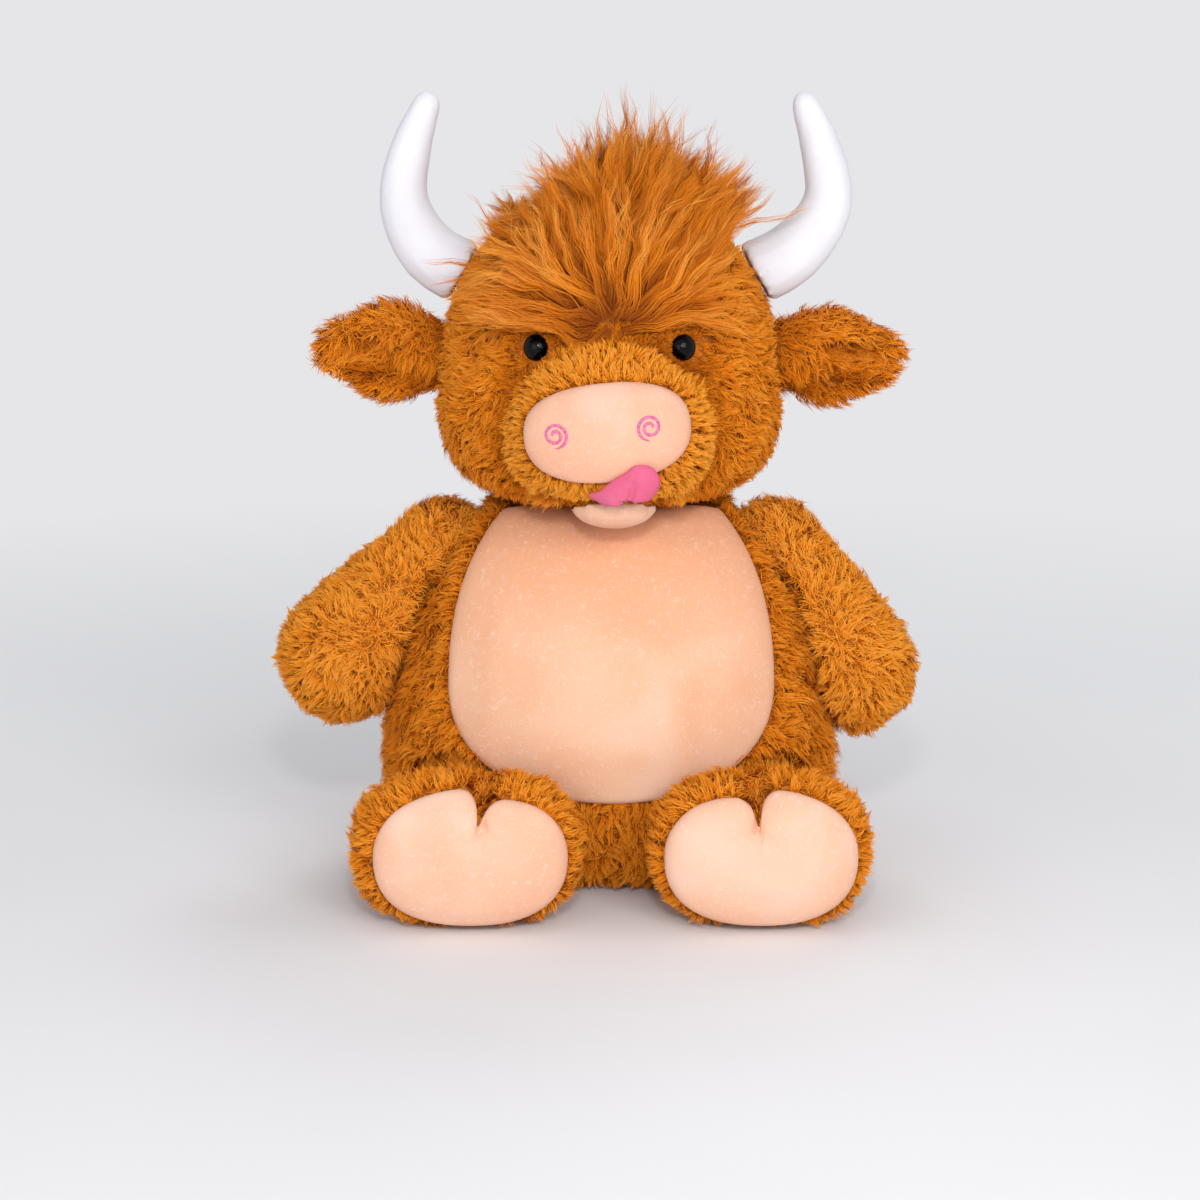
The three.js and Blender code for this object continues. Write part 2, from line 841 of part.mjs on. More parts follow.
function addHorns() {
  sides.forEach(({ name, sign }) => {
    const spread = name === 'left' ? horn.leftSpread : horn.rightSpread;
    const rootX = headSide(horn.fromMiddle, hornHeight);
    const stepTo = ({ out, up }) => {
      const lean = spread * Math.min(1, up / horn.outermost.up);
      return new THREE.Vector3(sign * (rootX + out + lean), horn.fromMiddle, hornHeight + up);
    };
    const path = [{ out: -horn.sink, up: 0 }, horn.elbow, horn.outermost, horn.upper, horn.tip].map(stepTo);
    const radii = [
      horn.rootRadius,
      horn.elbowRadius,
      horn.outermostRadius,
      horn.upperRadius,
      horn.tipRadius,
    ];
    const curved = limbGeometry(path, radii, { rows: fineRows, startDome: horn.rootDome, domeRows: 3 });
    const seated = cut(curved, headCutter);
    addPiece(headGroup, `horn_${name}`, seated, whitePlush, sign * rootX, horn.fromMiddle, hornHeight);
  });
}

// Forelock: the patch of long hair, with locks that taper to points

function lock(points, rootRadius, tipRadius) {
  const { middleRadius, flatness, ...counts } = lockShape;
  const radii = [rootRadius, rootRadius * middleRadius, tipRadius];
  return limbGeometry(points, radii, { ...counts, flat: flatness });
}

function between(from, to, share) {
  return from + (to - from) * share;
}

function fringeLocks() {
  const place = (x, z, lift) => new THREE.Vector3(x, headFront(x, z) - lift, z);
  return sides.flatMap(({ sign }) => {
    return Array.from({ length: fringe.perSide }, (_, i) => {
      const share = i / (fringe.perSide - 1);
      const rootX = sign * between(fringe.middleRoot, fringe.outerRoot, share);
      const tipX = sign * between(fringe.middleTip, fringe.outerTip, share);
      const rootZ = hornHeight + fringe.root;
      const tipZ = hornHeight + fringe.tip + share * fringe.outerRise - (i % 2) * fringe.longer;
      const middleZ = between(rootZ, tipZ, fringe.bend.down);
      const points = [
        place(rootX, rootZ, 0),
        place(between(rootX, tipX, fringe.bend.aside), middleZ, fringe.lift),
        place(tipX, tipZ, fringe.lift),
      ];
      return lock(points, fringe.rootRadius, fringe.tipRadius);
    });
  });
}

function tuftLocks() {
  return [tuft.front, tuft.rear].flatMap((row) => {
    return Array.from({ length: row.count }, (_, i) => {
      const share = i / (row.count - 1) - 0.5;
      const low = hornHeight + tuft.root;
      const rise = hornHeight + row.tip - 4 * share * share * tuft.droop;
      const middleRise = between(low, rise, tuft.bend) + Math.abs(share) * row.curl;
      const middleX = share * between(row.rootSpan, row.tipSpan, tuft.bend) + tuft.aside / 2;
      const root = new THREE.Vector3(share * row.rootSpan, row.lean, low);
      const middle = new THREE.Vector3(middleX, row.lean, middleRise);
      const tip = new THREE.Vector3(share * row.tipSpan + tuft.aside, row.lean * 2, rise);
      return lock([root, middle, tip], tuft.rootRadius, tuft.tipRadius);
    });
  });
}

function addForelock() {
  const outline = {
    halfWidth: forelock.halfWidth,
    front: head.front + farAway,
    back: forelock.reachBack,
  };
  const brow = hornHeight + forelock.brow;
  const ring = [brow, farAway].map((z) => ovalRing(outline, forelock.round, fineSides, z));
  const bottom = new THREE.Vector3(0, 0, brow);
  const region = skin(ring, bottom, new THREE.Vector3(0, 0, farAway));
  const capSize = {
    ...headSize,
    up: headSize.up + forelock.overCrown,
    front: headSize.front + forelock.overBrow,
    back: headSize.back + forelock.overBrow,
    halfWidth: headSize.halfWidth + forelock.overBrow,
  };
  const overHead = moved(eggGeometry(eggForm(capSize)), 0, 0, head.cheekHeight);
  const cap = keepInside(overHead, region);
  const hair = join(cap, ...fringeLocks(), ...tuftLocks());
  const hornRoots = headGroup.children.filter((piece) => piece.name.startsWith('horn_'));
  const clearOfHorns = hornRoots.map((piece) => grownMesh(piece));
  const eyeHoles = sides.map(({ sign }) => onFace(eyeCutter(), sign));
  const seated = cut(hair, headCutter, muzzleEgg(seamGap), ...eyeHoles, ...clearOfHorns);
  addPiece(headGroup, 'forelock', mainBody(seated), furBrown, 0, 0, head.cheekHeight + head.crown);
}

// A mesh's shape in its group, thickened by the seam gap along its normals
function grownMesh(piece) {
  const geometry = piece.geometry.clone();
  const place = geometry.attributes.position;
  const normal = geometry.attributes.normal;
  for (let i = 0; i < place.count; i += 1) {
    const x = place.getX(i) + normal.getX(i) * seamGap;
    const y = place.getY(i) + normal.getY(i) * seamGap;
    place.setXYZ(i, x, y, place.getZ(i) + normal.getZ(i) * seamGap);
  }
  return geometry.translate(...piece.position.toArray());
}

// Ears

function addEars() {
  sides.forEach(({ name, sign }, index) => {
    const along = (share) => new THREE.Vector3(sign * ear.leafLength * share, 0, 0);
    const radii = [ear.innerRadius, ear.middleRadius, ear.outerRadius, ear.tipRadius];
    const leaf = limbGeometry([along(0), along(1 / 3), along(2 / 3), along(1)], radii, {
      flat: ear.flatness,
      startDome: ear.rootDome,
    });
    const foldSize = {
      halfWidth: ear.foldHalfLength,
      front: ear.foldDepth,
      back: ear.foldDepth,
      up: ear.foldHalfHeight,
      down: ear.foldHalfHeight,
      squareness: ear.foldRound,
      upRound: ear.foldRound,
      downRound: ear.foldRound,
    };
    const front = -ear.middleRadius * ear.flatness;
    const foldX = sign * ear.foldAlong;
    const fold = moved(eggGeometry(eggForm(foldSize), coarseSides, coarseRows), foldX, front, -ear.foldDrop);
    const flap = join(cut(leaf, fold), ball(ear.rootRadius, 'z'));
    addPiece(earGroups[index], `ear_${name}`, flap, furBrown);
  });
}

// Arms

function addArms() {
  sides.forEach(({ name }, index) => {
    const handRadius = name === 'left' ? arm.leftHandRadius : arm.rightHandRadius;
    const path = [
      new THREE.Vector3(0, 0, 0),
      new THREE.Vector3(0, -arm.elbowForward, -arm.length / 2),
      new THREE.Vector3(0, -arm.handForward, -arm.length),
    ];
    const stuffed = limbGeometry(path, [arm.shoulderRadius, arm.elbowRadius, handRadius]);
    const rest = cut(stuffed, intoGroup(bodyCutter, armGroups[index]));
    addPiece(armGroups[index], `arm_${name}`, join(rest, ball(arm.rootRadius, 'y')), furBrown);
  });
}

// Legs with their soles

function footEgg(halfWidth, grow) {
  const size = {
    halfWidth,
    front: foot.thickFront,
    back: foot.thickBack,
    up: foot.up,
    down: foot.down,
    squareness: foot.round,
    upRound: foot.round,
    downRound: foot.round,
  };
  return eggGeometry(eggForm(size, grow), footSides, footRows);
}

function cleftWedge(margin) {
  const top = foot.up * 2;
  const slope = (cleft.topWidth - cleft.bottomWidth) / (foot.centreHeight + foot.up - cleft.bottomHeight);
  const bottom = cleft.bottomHeight - foot.centreHeight - margin;
  const halfBottom = cleft.bottomWidth / 2 + margin / 2;
  const halfTop = halfBottom + (slope / 2) * (top - bottom);
  const points = [
    new THREE.Vector2(-halfBottom, bottom),
    new THREE.Vector2(halfBottom, bottom),
    new THREE.Vector2(halfTop, top),
    new THREE.Vector2(-halfTop, top),
  ];
  return extrudedBack(points, -farAway, -foot.thickFront + cleft.depth);
}

function addLegs() {
  sides.forEach(({ name, sign }, index) => {
    const group = legGroups[index];
    const onLeft = name === 'left';
    const spread = onLeft ? foot.leftSpread : foot.rightSpread;
    const footPlace = [sign * spread, -foot.forward, foot.centreHeight - leg.hipHeight];
    const halfWidth = onLeft ? foot.leftHalfWidth : foot.rightHalfWidth;
    const inward = -sign * (onLeft ? sole.leftAside : sole.rightAside);
    const notchShift = [inward - sign * (onLeft ? cleft.leftAside : cleft.rightAside), 0, 0];
    const halfTall = (sole.top - sole.bottom) / 2;
    const outline = {
      halfWidth: sole.halfWidth,
      up: halfTall,
      down: halfTall,
      upRound: sole.round,
      downRound: sole.round,
    };
    const soleSlab = (grow) => {
      const rise = (sole.top + sole.bottom) / 2 - foot.centreHeight;
      return moved(frontSlab(outline, -farAway, sole.wrap - foot.thickFront, grow), inward, 0, rise);
    };
    const patch = keepInside(cut(footEgg(halfWidth, 0), footEgg(halfWidth, -sole.thickness)), soleSlab(0));
    const notchedPatch = cut(patch, moved(cleftWedge(cleft.soleMargin), ...notchShift));
    const recessForm = cut(footEgg(halfWidth, overrun), footEgg(halfWidth, -sole.thickness - seamGap));
    const recess = keepInside(recessForm, soleSlab(seamGap));
    const paw = cut(footEgg(halfWidth, 0), recess, moved(cleftWedge(0), ...notchShift));

    const thighPath = [new THREE.Vector3(0, 0, 0), new THREE.Vector3(...footPlace)];
    const thigh = limbGeometry(thighPath, [leg.thighRadius, leg.thighRadius], {
      across: new THREE.Vector3(0, 0, 1),
      rows: 3,
      domeRows: 3,
      endDome: leg.thighEnd,
    });
    const ground = intoGroup(box(-farAway, -farAway, -farAway, farAway, farAway, 0), group);
    const outside = cut(join(moved(paw, ...footPlace), thigh), intoGroup(bodyCutter, group), ground);
    const whole = join(outside, ball(leg.rootRadius, 'z'));
    addPiece(group, `leg_${name}`, whole, furBrown);
    const seated = cut(moved(notchedPatch, ...footPlace), ground);
    addPiece(group, `sole_${name}`, seated, peachPlush, ...footPlace);
  });
}

// Tail

function addTail() {
  const path = [
    new THREE.Vector3(0, 0, 0),
    new THREE.Vector3(0, tail.standOff, -tail.bendDrop),
    new THREE.Vector3(0, tail.standOff, -tail.length),
  ];
  const strand = limbGeometry(path, [tail.neckRadius, tail.radius, tail.endRadius], {
    sides: 10,
    rows: 5,
    domeRows: 2,
    endDome: tail.endDome / tail.endRadius,
    across: new THREE.Vector3(1, 0, 0),
  });
  const outside = cut(strand, intoGroup(bodyCutter, tailGroup));
  addPiece(tailGroup, 'tail', join(outside, ball(tail.rootRadius, 'y')), furBrown);

  const top = -tail.length - tail.endDome - seamGap;
  const drops = [tailTuft.topRadius * tailTuft.topDome, tailTuft.widest, tailTuft.tipDrop];
  const tuftPath = drops.map((drop) => new THREE.Vector3(0, tail.standOff, top - drop));
  const brush = limbGeometry(tuftPath, [tailTuft.topRadius, tailTuft.radius, tailTuft.tipRadius], {
    sides: 10,
    rows: 5,
    domeRows: 3,
    startDome: tailTuft.topDome,
    across: new THREE.Vector3(1, 0, 0),
  });
  addPiece(tailGroup, 'tail_tuft', brush, furBrown);
}

addBody();
addHead();
addSnout();
addEyes();
addHorns();
addForelock();
addEars();
addArms();
addLegs();
addTail();

export default toy;
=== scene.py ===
"""Looks of a seated stuffed toy cow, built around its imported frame.

Every furry cushion is a puffed copy of its frame solid, drawn in by the depth of its pile, and
carries the pile as combed tufts of real blades. The smooth peach patches, the horns, the tongue
and the safety eyes are pieces of their own.
"""

import json
import logging
import math
from dataclasses import dataclass, field
from enum import Enum, IntEnum
from typing import Callable, ClassVar, Sequence

import bpy
import numpy as np
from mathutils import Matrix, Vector
from mathutils.bvhtree import BVHTree
from mathutils.kdtree import KDTree


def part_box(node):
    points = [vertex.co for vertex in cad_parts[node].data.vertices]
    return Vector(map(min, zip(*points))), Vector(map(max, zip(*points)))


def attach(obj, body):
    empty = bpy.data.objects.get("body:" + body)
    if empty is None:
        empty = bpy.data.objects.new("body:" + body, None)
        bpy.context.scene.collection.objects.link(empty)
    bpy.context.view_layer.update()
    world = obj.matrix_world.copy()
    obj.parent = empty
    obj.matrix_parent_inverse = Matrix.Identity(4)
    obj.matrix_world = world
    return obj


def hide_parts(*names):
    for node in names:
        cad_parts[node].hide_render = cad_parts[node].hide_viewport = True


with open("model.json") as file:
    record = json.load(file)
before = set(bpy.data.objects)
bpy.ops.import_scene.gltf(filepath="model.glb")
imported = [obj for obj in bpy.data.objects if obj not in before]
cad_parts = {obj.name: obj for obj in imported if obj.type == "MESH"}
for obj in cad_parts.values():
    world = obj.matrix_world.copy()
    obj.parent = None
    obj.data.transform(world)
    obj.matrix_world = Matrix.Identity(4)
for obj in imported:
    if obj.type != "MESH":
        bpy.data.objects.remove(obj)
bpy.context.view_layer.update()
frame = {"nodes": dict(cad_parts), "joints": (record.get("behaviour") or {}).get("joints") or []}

logging.basicConfig(level=logging.INFO, format="%(message)s")
log = logging.getLogger("toy")

MM = 0.001
FLOOR_CLEAR = 0.4 * MM
Array = np.ndarray
Colour = tuple[float, float, float]
Stop = tuple[float, Colour]
Spot = tuple[float, float, float]


class Side(Enum):
    """The two sides of the toy, as seen by someone who looks at its face."""

    LEFT = -1
    RIGHT = 1

    @property
    def word(self) -> str:
        """The side's name in the names of pieces."""
        return self.name.lower()


class Seed(IntEnum):
    """Seeds of the random draws. A part that grows pile also uses the numbers just above its own."""

    SEAT = 5
    FEET = 6
    TORSO = 11
    HEAD = 21
    SNOUT = 31
    HAIR_ROOTS = 41
    HAIR = 42
    HAIR_BEND = 43
    HAIR_WAVE = 47
    HAIR_STRANDS = 51
    EAR = 61
    ARM = 71
    ARM_COMB = 75
    LEG = 81
    TAIL = 91
    TAIL_TUFT = 92
    TAIL_STRANDS = 93


# ---- Finishes ----


class Shader:
    """A material under construction, with short calls for its nodes and links."""

    def __init__(self, name: str) -> None:
        """Starts a material with only a Principled shader and its output.

        Args:
            name: The material's name.
        """
        self.material = bpy.data.materials.new(name)
        self.material.use_nodes = True
        self.tree = self.material.node_tree
        self.surface = self.tree.nodes["Principled BSDF"]

    def node(self, kind: str, **settings: object) -> bpy.types.Node:
        """Adds a node and sets its properties.

        Args:
            kind: The node's type, without the words ShaderNode in front.
            settings: Properties of the node by name.

        Returns:
            The new node.
        """
        made = self.tree.nodes.new(f"ShaderNode{kind}")
        for key, value in settings.items():
            setattr(made, key, value)
        return made

    def feed(self, target: bpy.types.NodeSocket, value: object) -> None:
        """Gives an input its value.

        Args:
            target: The input.
            value: A socket to link, or a number or colour to set.
        """
        if isinstance(value, bpy.types.NodeSocket):
            self.tree.links.new(value, target)
        else:
            target.default_value = (*value, 1) if isinstance(value, tuple) else value

    def maths(self, operation: str, first: object, second: object = 0.0) -> bpy.types.NodeSocket:
        """Adds a Math node.

        Args:
            operation: The node's operation.
            first: A socket or a number.
            second: A socket or a number.

        Returns:
            The node's output.
        """
        made = self.node("Math", operation=operation)
        self.feed(made.inputs[0], first)
        self.feed(made.inputs[1], second)
        return made.outputs[0]

    def ramp(self, factor: bpy.types.NodeSocket, stops: Sequence[Stop]) -> bpy.types.NodeSocket:
        """Adds a colour ramp.

        Args:
            factor: The value that runs over the ramp.
            stops: Places from 0 to 1 with their colours.

        Returns:
            The ramp's colour.
        """
        made = self.node("ValToRGB")
        elements = made.color_ramp.elements
        while len(elements) < len(stops):
            elements.new(0.5)
        for element, (place, colour) in zip(elements, stops):
            element.position = place
            element.color = (*colour, 1)
        self.feed(made.inputs["Fac"], factor)
        return made.outputs["Color"]

    def mask(self, factor: bpy.types.NodeSocket, low: float, high: float) -> bpy.types.NodeSocket:
        """Adds a ramp from black to white.

        Args:
            factor: The value that runs over the ramp.
            low: Where it is black.
            high: Where it is white.

        Returns:
            The ramp's grey.
        """
        return self.ramp(factor, ((low, (0, 0, 0)), (high, (1, 1, 1))))

    def mixed(self, factor: object, first: object, second: object) -> bpy.types.NodeSocket:
        """Adds a colour Mix node.

        Args:
            factor: A socket or a number.
            first: A socket or a colour.
            second: A socket or a colour.

        Returns:
            The mixed colour.
        """
        made = self.node("Mix", data_type="RGBA")
        for slot, value in ((0, factor), (6, first), (7, second)):
            self.feed(made.inputs[slot], value)
        return made.outputs[2]

    def noise(self, scale: float, detail: float, distortion: float = 0) -> bpy.types.NodeSocket:
        """Adds a noise pattern on object coordinates.

        Args:
            scale: Patches per metre.
            detail: Finer octaves.
            distortion: How far the pattern swirls.

        Returns:
            The noise value.
        """
        made = self.node("TexNoise")
        settings = {"Scale": scale, "Detail": detail, "Distortion": distortion, "Vector": self.place()}
        for key, value in settings.items():
            self.feed(made.inputs[key], value)
        return made.outputs["Fac"]

    def place(self) -> bpy.types.NodeSocket:
        """The place on the piece, in metres."""
        return self.node("TexCoord").outputs["Object"]

    def bump(self, height: bpy.types.NodeSocket, depth: float) -> None:
        """Adds relief to the surface.

        Args:
            height: The relief from 0 to 1.
            depth: Its depth in metres.
        """
        made = self.node("Bump")
        self.feed(made.inputs["Strength"], 1)
        self.feed(made.inputs["Distance"], depth)
        self.feed(made.inputs["Height"], height)
        self.feed(self.surface.inputs["Normal"], made.outputs["Normal"])

    def coat(self, colour: bpy.types.NodeSocket, roughness: float, specular: float = 0.5) -> None:
        """Gives the surface its colour and gloss.

        Args:
            colour: The colour.
            roughness: From 0, polished, to 1, dull.
            specular: Strength of its reflections.
        """
        settings = {"Base Color": colour, "Roughness": roughness, "Specular IOR Level": specular}
        for key, value in settings.items():
            self.feed(self.surface.inputs[key], value)

    def sheen(self, weight: float, roughness: float, tint: Colour) -> None:
        """Gives the soft light edge of pile."""
        for key, value in (("Weight", weight), ("Roughness", roughness), ("Tint", tint)):
            self.feed(self.surface.inputs[f"Sheen {key}"], value)


@dataclass(frozen=True)
class Finish:
    """A finish that becomes a material."""

    name: str

    def material(self) -> bpy.types.Material:
        """Builds the material.

        Returns:
            The material.
        """
        shader = Shader(self.name)
        self.paint(shader)
        return shader.material

    def paint(self, shader: Shader) -> None:
        """Adds the nodes of one kind of finish.

        Args:
            shader: The material under construction.
        """
        raise NotImplementedError


@dataclass(frozen=True)
class PileFinish(Finish):
    """Fur or long hair: dark at the root, light at the tip, with each blade's own tint.

    It reads the blades' map, where a blade's tint lies across and its length runs up.
    """

    root: Colour
    middle: Colour
    tip: Colour
    pale_middle: Colour
    pale_tip: Colour
    roughness: float = 0.8
    sheen: float = 0.08

    def paint(self, shader: Shader) -> None:
        """Adds this finish's nodes."""
        parts = shader.node("SeparateXYZ")
        shader.feed(parts.inputs[0], shader.node("UVMap", uv_map=BLADE_MAP).outputs["UV"])
        along = parts.outputs["Y"]
        # Painted light: the dark root is painted shade deep in the pile, the light tip painted light on
        # the tips.
        deep = shader.ramp(along, ((0.0, self.root), (0.45, self.middle), (1.0, self.tip)))
        pale = shader.ramp(along, ((0.0, self.root), (0.4, self.pale_middle), (1.0, self.pale_tip)))
        shader.coat(shader.mixed(parts.outputs["X"], deep, pale), self.roughness, 0.1)
        shader.sheen(self.sheen, 0.5, self.pale_tip)


@dataclass(frozen=True)
class BackingFinish(Finish):
    """The knitted backing and under-fur that shows between the blades."""

    colour: Colour
    shade: Colour

    def paint(self, shader: Shader) -> None:
        """Adds this finish's nodes."""
        mottle = shader.noise(260, 2)
        shader.coat(shader.ramp(mottle, ((0.35, self.shade), (0.65, self.colour))), 0.95)
        shader.bump(mottle, 1.2 * MM)


@dataclass(frozen=True)
class NapFinish(Finish):
    """Short smooth plush, whose nap lies in broken light strokes along faint swirls.

    Swirl, breaks, patches and fibres are the patterns' sizes, per metre. Strokes is how many
    follow one another across a swirl, and contrast how clearly they show.
    """

    colour: Colour
    shade: Colour
    light: Colour
    stroke: Colour | None = None
    top: Colour | None = None
    depth: float = 0.07 * MM
    sheen: float = 0.2
    swirl: float = 170
    strokes: float = 48
    breaks: float = 300
    patches: float = 17
    fibres: float = 1500
    contrast: float = 0.5

    def paint(self, shader: Shader) -> None:
        """Adds this finish's nodes."""
        flow = shader.noise(self.swirl, 1, 0.4)
        waves = shader.maths("SINE", shader.maths("MULTIPLY", flow, self.strokes))
        broken = shader.mask(shader.noise(self.breaks, 1), 0.42, 0.7)
        ridges = shader.maths("MULTIPLY", shader.mask(waves, 0, 1), broken)
        patches = shader.noise(self.patches, 2, 0.4)
        tone = shader.ramp(patches, ((0.36, self.shade), (0.5, self.colour), (0.64, self.light)))
        # Painted shade: from a height of 110 mm up to 170 mm the colour deepens to the top colour.
        if self.top:
            parts = shader.node("SeparateXYZ")
            shader.feed(parts.inputs[0], shader.place())
            rise = shader.maths("MULTIPLY", parts.outputs["Z"], 5)
            tone = shader.mixed(shader.mask(rise, 0.55, 0.85), tone, self.top)
        shown = shader.maths("MULTIPLY", ridges, self.contrast)
        shader.coat(shader.mixed(shown, tone, self.stroke or self.light), 0.85, 0.15)
        fibres = shader.maths("MULTIPLY", shader.noise(self.fibres, 2), 0.35)
        shader.bump(shader.maths("ADD", ridges, fibres), self.depth)
        shader.sheen(self.sheen, 0.35, self.light)


@dataclass(frozen=True)
class ThreadFinish(Finish):
    """Glossy embroidery thread, laid across the line that it draws."""

    colour: Colour
    shade: Colour
    stitches: float = 900

    def paint(self, shader: Shader) -> None:
        """Adds this finish's nodes."""
        strands = shader.noise(self.stitches, 2)
        shader.coat(shader.ramp(strands, ((0.3, self.shade), (0.6, self.colour))), 0.4)
        shader.bump(strands, 0.15 * MM)


@dataclass(frozen=True)
class GlossFinish(Finish):
    """Polished plastic."""

    colour: Colour
    roughness: float

    def paint(self, shader: Shader) -> None:
        """Adds this finish's nodes."""
        worn = tuple(1.6 * part for part in self.colour)
        tone = shader.ramp(shader.noise(400, 2), ((0.3, self.colour), (0.8, worn)))
        shader.coat(tone, self.roughness, 0.15)


BLADE_MAP = "OFBake"

# Root to tip runs from painted shade deep in the pile up to painted light on the tips.
FUR = PileFinish(
    "fur_brown",
    root=(0.32, 0.064, 0.001),
    middle=(0.70, 0.175, 0.003),
    tip=(0.86, 0.275, 0.015),
    pale_middle=(0.90, 0.285, 0.011),
    pale_tip=(0.94, 0.450, 0.070),
)
# Root to tip runs from painted shade deep in the pile up to painted light on the tips.
LONG_HAIR = PileFinish(
    "hair_long",
    root=(0.26, 0.048, 0.001),
    middle=(0.53, 0.112, 0.001),
    tip=(0.78, 0.232, 0.010),
    pale_middle=(0.86, 0.262, 0.008),
    pale_tip=(1.0, 0.570, 0.135),
    roughness=0.6,
    sheen=0.04,
)
BACKING = BackingFinish("fur_backing", colour=(0.52, 0.140, 0.003), shade=(0.38, 0.092, 0.002))
PEACH = NapFinish(
    "plush_peach",
    colour=(0.83, 0.490, 0.340),
    shade=(0.81, 0.450, 0.300),
    light=(0.86, 0.560, 0.420),
    stroke=(0.90, 0.640, 0.520),
)
# The belly's peach plush, painted deeper than the soles' and lip's as painted shade, and deeper still
# at its top as painted shade under the head.
BELLY_PEACH = NapFinish(
    "plush_peach_belly",
    colour=(0.79, 0.450, 0.288),
    shade=(0.77, 0.405, 0.244),
    light=(0.82, 0.508, 0.356),
    stroke=(0.88, 0.600, 0.470),
    top=(0.80, 0.385, 0.215),
)
WHITE = NapFinish(
    "plush_white",
    colour=(0.77, 0.76, 0.80),
    shade=(0.74, 0.73, 0.77),
    light=(0.80, 0.79, 0.82),
    depth=0.05 * MM,
    contrast=0.15,
)
PINK = NapFinish(
    "plush_pink",
    colour=(0.68, 0.125, 0.23),
    shade=(0.60, 0.095, 0.18),
    light=(0.74, 0.180, 0.29),
    depth=0.06 * MM,
    contrast=0.4,
)
# The nose patch's peach plush, painted deeper than the soles' and lip's as painted shade.
NOSE_PEACH = NapFinish(
    "plush_peach_nose",
    colour=(0.80, 0.440, 0.300),
    shade=(0.78, 0.405, 0.265),
    light=(0.83, 0.500, 0.370),
    stroke=(0.86, 0.570, 0.450),
)
THREAD = ThreadFinish("thread_pink", colour=(0.78, 0.19, 0.40), shade=(0.52, 0.06, 0.20))
EYE_BLACK = GlossFinish("eye_black", colour=(0.0012, 0.0010, 0.0010), roughness=0.03)
WASHER = GlossFinish("washer_cream", colour=(0.50, 0.48, 0.43), roughness=0.45)
COTTON = BackingFinish("bag_cotton", colour=(0.80, 0.76, 0.67), shade=(0.66, 0.62, 0.54))


# ---- Meshes ----

STUFFING_PRESSURE = 4.0
STUFFING_FRAMES = 20


def deselect() -> None:
    """Leaves nothing selected."""
    bpy.ops.object.select_all(action="DESELECT")


def activate(piece: bpy.types.Object) -> None:
    """Makes one object the selected and active one."""
    deselect()
    piece.select_set(True)
    bpy.context.view_layer.objects.active = piece


def add_object(name: str, data: bpy.types.ID) -> bpy.types.Object:
    """Adds an object to the scene.

    Args:
        name: Its name.
        data: Its mesh, lamp or camera.

    Returns:
        The object.
    """
    made = bpy.data.objects.new(name, data)
    bpy.context.scene.collection.objects.link(made)
    return made


def edit_all(step: Callable[..., object], **settings: object) -> None:
    """Runs one mesh operator over the whole of the active object.

    Args:
        step: The operator.
        settings: Its properties by name.
    """
    bpy.ops.object.mode_set(mode="EDIT")
    bpy.ops.mesh.select_all(action="SELECT")
    step(**settings)
    bpy.ops.object.mode_set(mode="OBJECT")


def rows_of(items: Sequence[object], key: str) -> Array:
    """Reads one vector from each of a mesh's items.

    Args:
        items: The mesh's list.
        key: The vector's name.

    Returns:
        An array of one row per item.
    """
    rows = np.empty(len(items) * 3, np.float32)
    items.foreach_get(key, rows)
    return rows.reshape(-1, 3).astype(float)


def places_of(piece: bpy.types.Object) -> Array:
    """A mesh's vertex places, one row for each."""
    return rows_of(piece.data.vertices, "co")


def normals_of(piece: bpy.types.Object) -> Array:
    """A mesh's vertex normals, one row for each."""
    return rows_of(piece.data.vertex_normals, "vector")


def set_places(piece: bpy.types.Object, places: Array) -> None:
    """Moves a mesh's vertices to the given places."""
    piece.data.vertices.foreach_set("co", places.astype(np.float32).ravel())
    piece.data.update()


def add_modifier(piece: bpy.types.Object, kind: str, **settings: object) -> None:
    """Adds a modifier, sets it and applies it.

    Args:
        piece: The object.
        kind: The modifier's type.
        settings: Its properties by name.
    """
    activate(piece)
    made = piece.modifiers.new(kind.lower(), kind)
    for key, value in settings.items():
        setattr(made, key, value)
    bpy.ops.object.modifier_apply(modifier=made.name)


def frame_copy(name: str, nodes: Sequence[str]) -> bpy.types.Object:
    """Copies frame solids into one new object, with the corners of their faces merged.

    Args:
        name: The new object's name.
        nodes: The solids to copy.

    Returns:
        The new object.
    """
    deselect()
    for node in nodes:
        copy = add_object(name, frame["nodes"][node].data.copy())
        copy.data.materials.clear()
        copy.select_set(True)
        bpy.context.view_layer.objects.active = copy
    if len(nodes) > 1:
        bpy.ops.object.join()
    piece = bpy.context.active_object
    piece.name = name
    piece.data.name = name
    edit_all(bpy.ops.mesh.remove_doubles, threshold=0.01 * MM)
    return piece


def puff(piece: bpy.types.Object, cap: float) -> None:
    """Blows a closed cushion up as cloth, and caps how far a point may move.

    Args:
        piece: The cushion.
        cap: The longest move in metres.
    """
    before = places_of(piece)
    activate(piece)
    cloth = piece.modifiers.new("cloth", "CLOTH")
    cloth.settings.use_pressure = True
    cloth.settings.uniform_pressure_force = STUFFING_PRESSURE
    cloth.settings.effector_weights.gravity = 0
    cloth.settings.quality = 4
    cloth.point_cache.frame_start = 1
    cloth.point_cache.frame_end = STUFFING_FRAMES
    for step in range(1, STUFFING_FRAMES + 1):
        bpy.context.scene.frame_set(step)
    bpy.ops.object.modifier_apply(modifier=cloth.name)
    bpy.context.scene.frame_set(1)
    moves = np.nan_to_num(places_of(piece) - before)
    reach = np.linalg.norm(moves, axis=1, keepdims=True)
    set_places(piece, before + moves * np.minimum(1, cap / np.maximum(reach, 1e-9)))


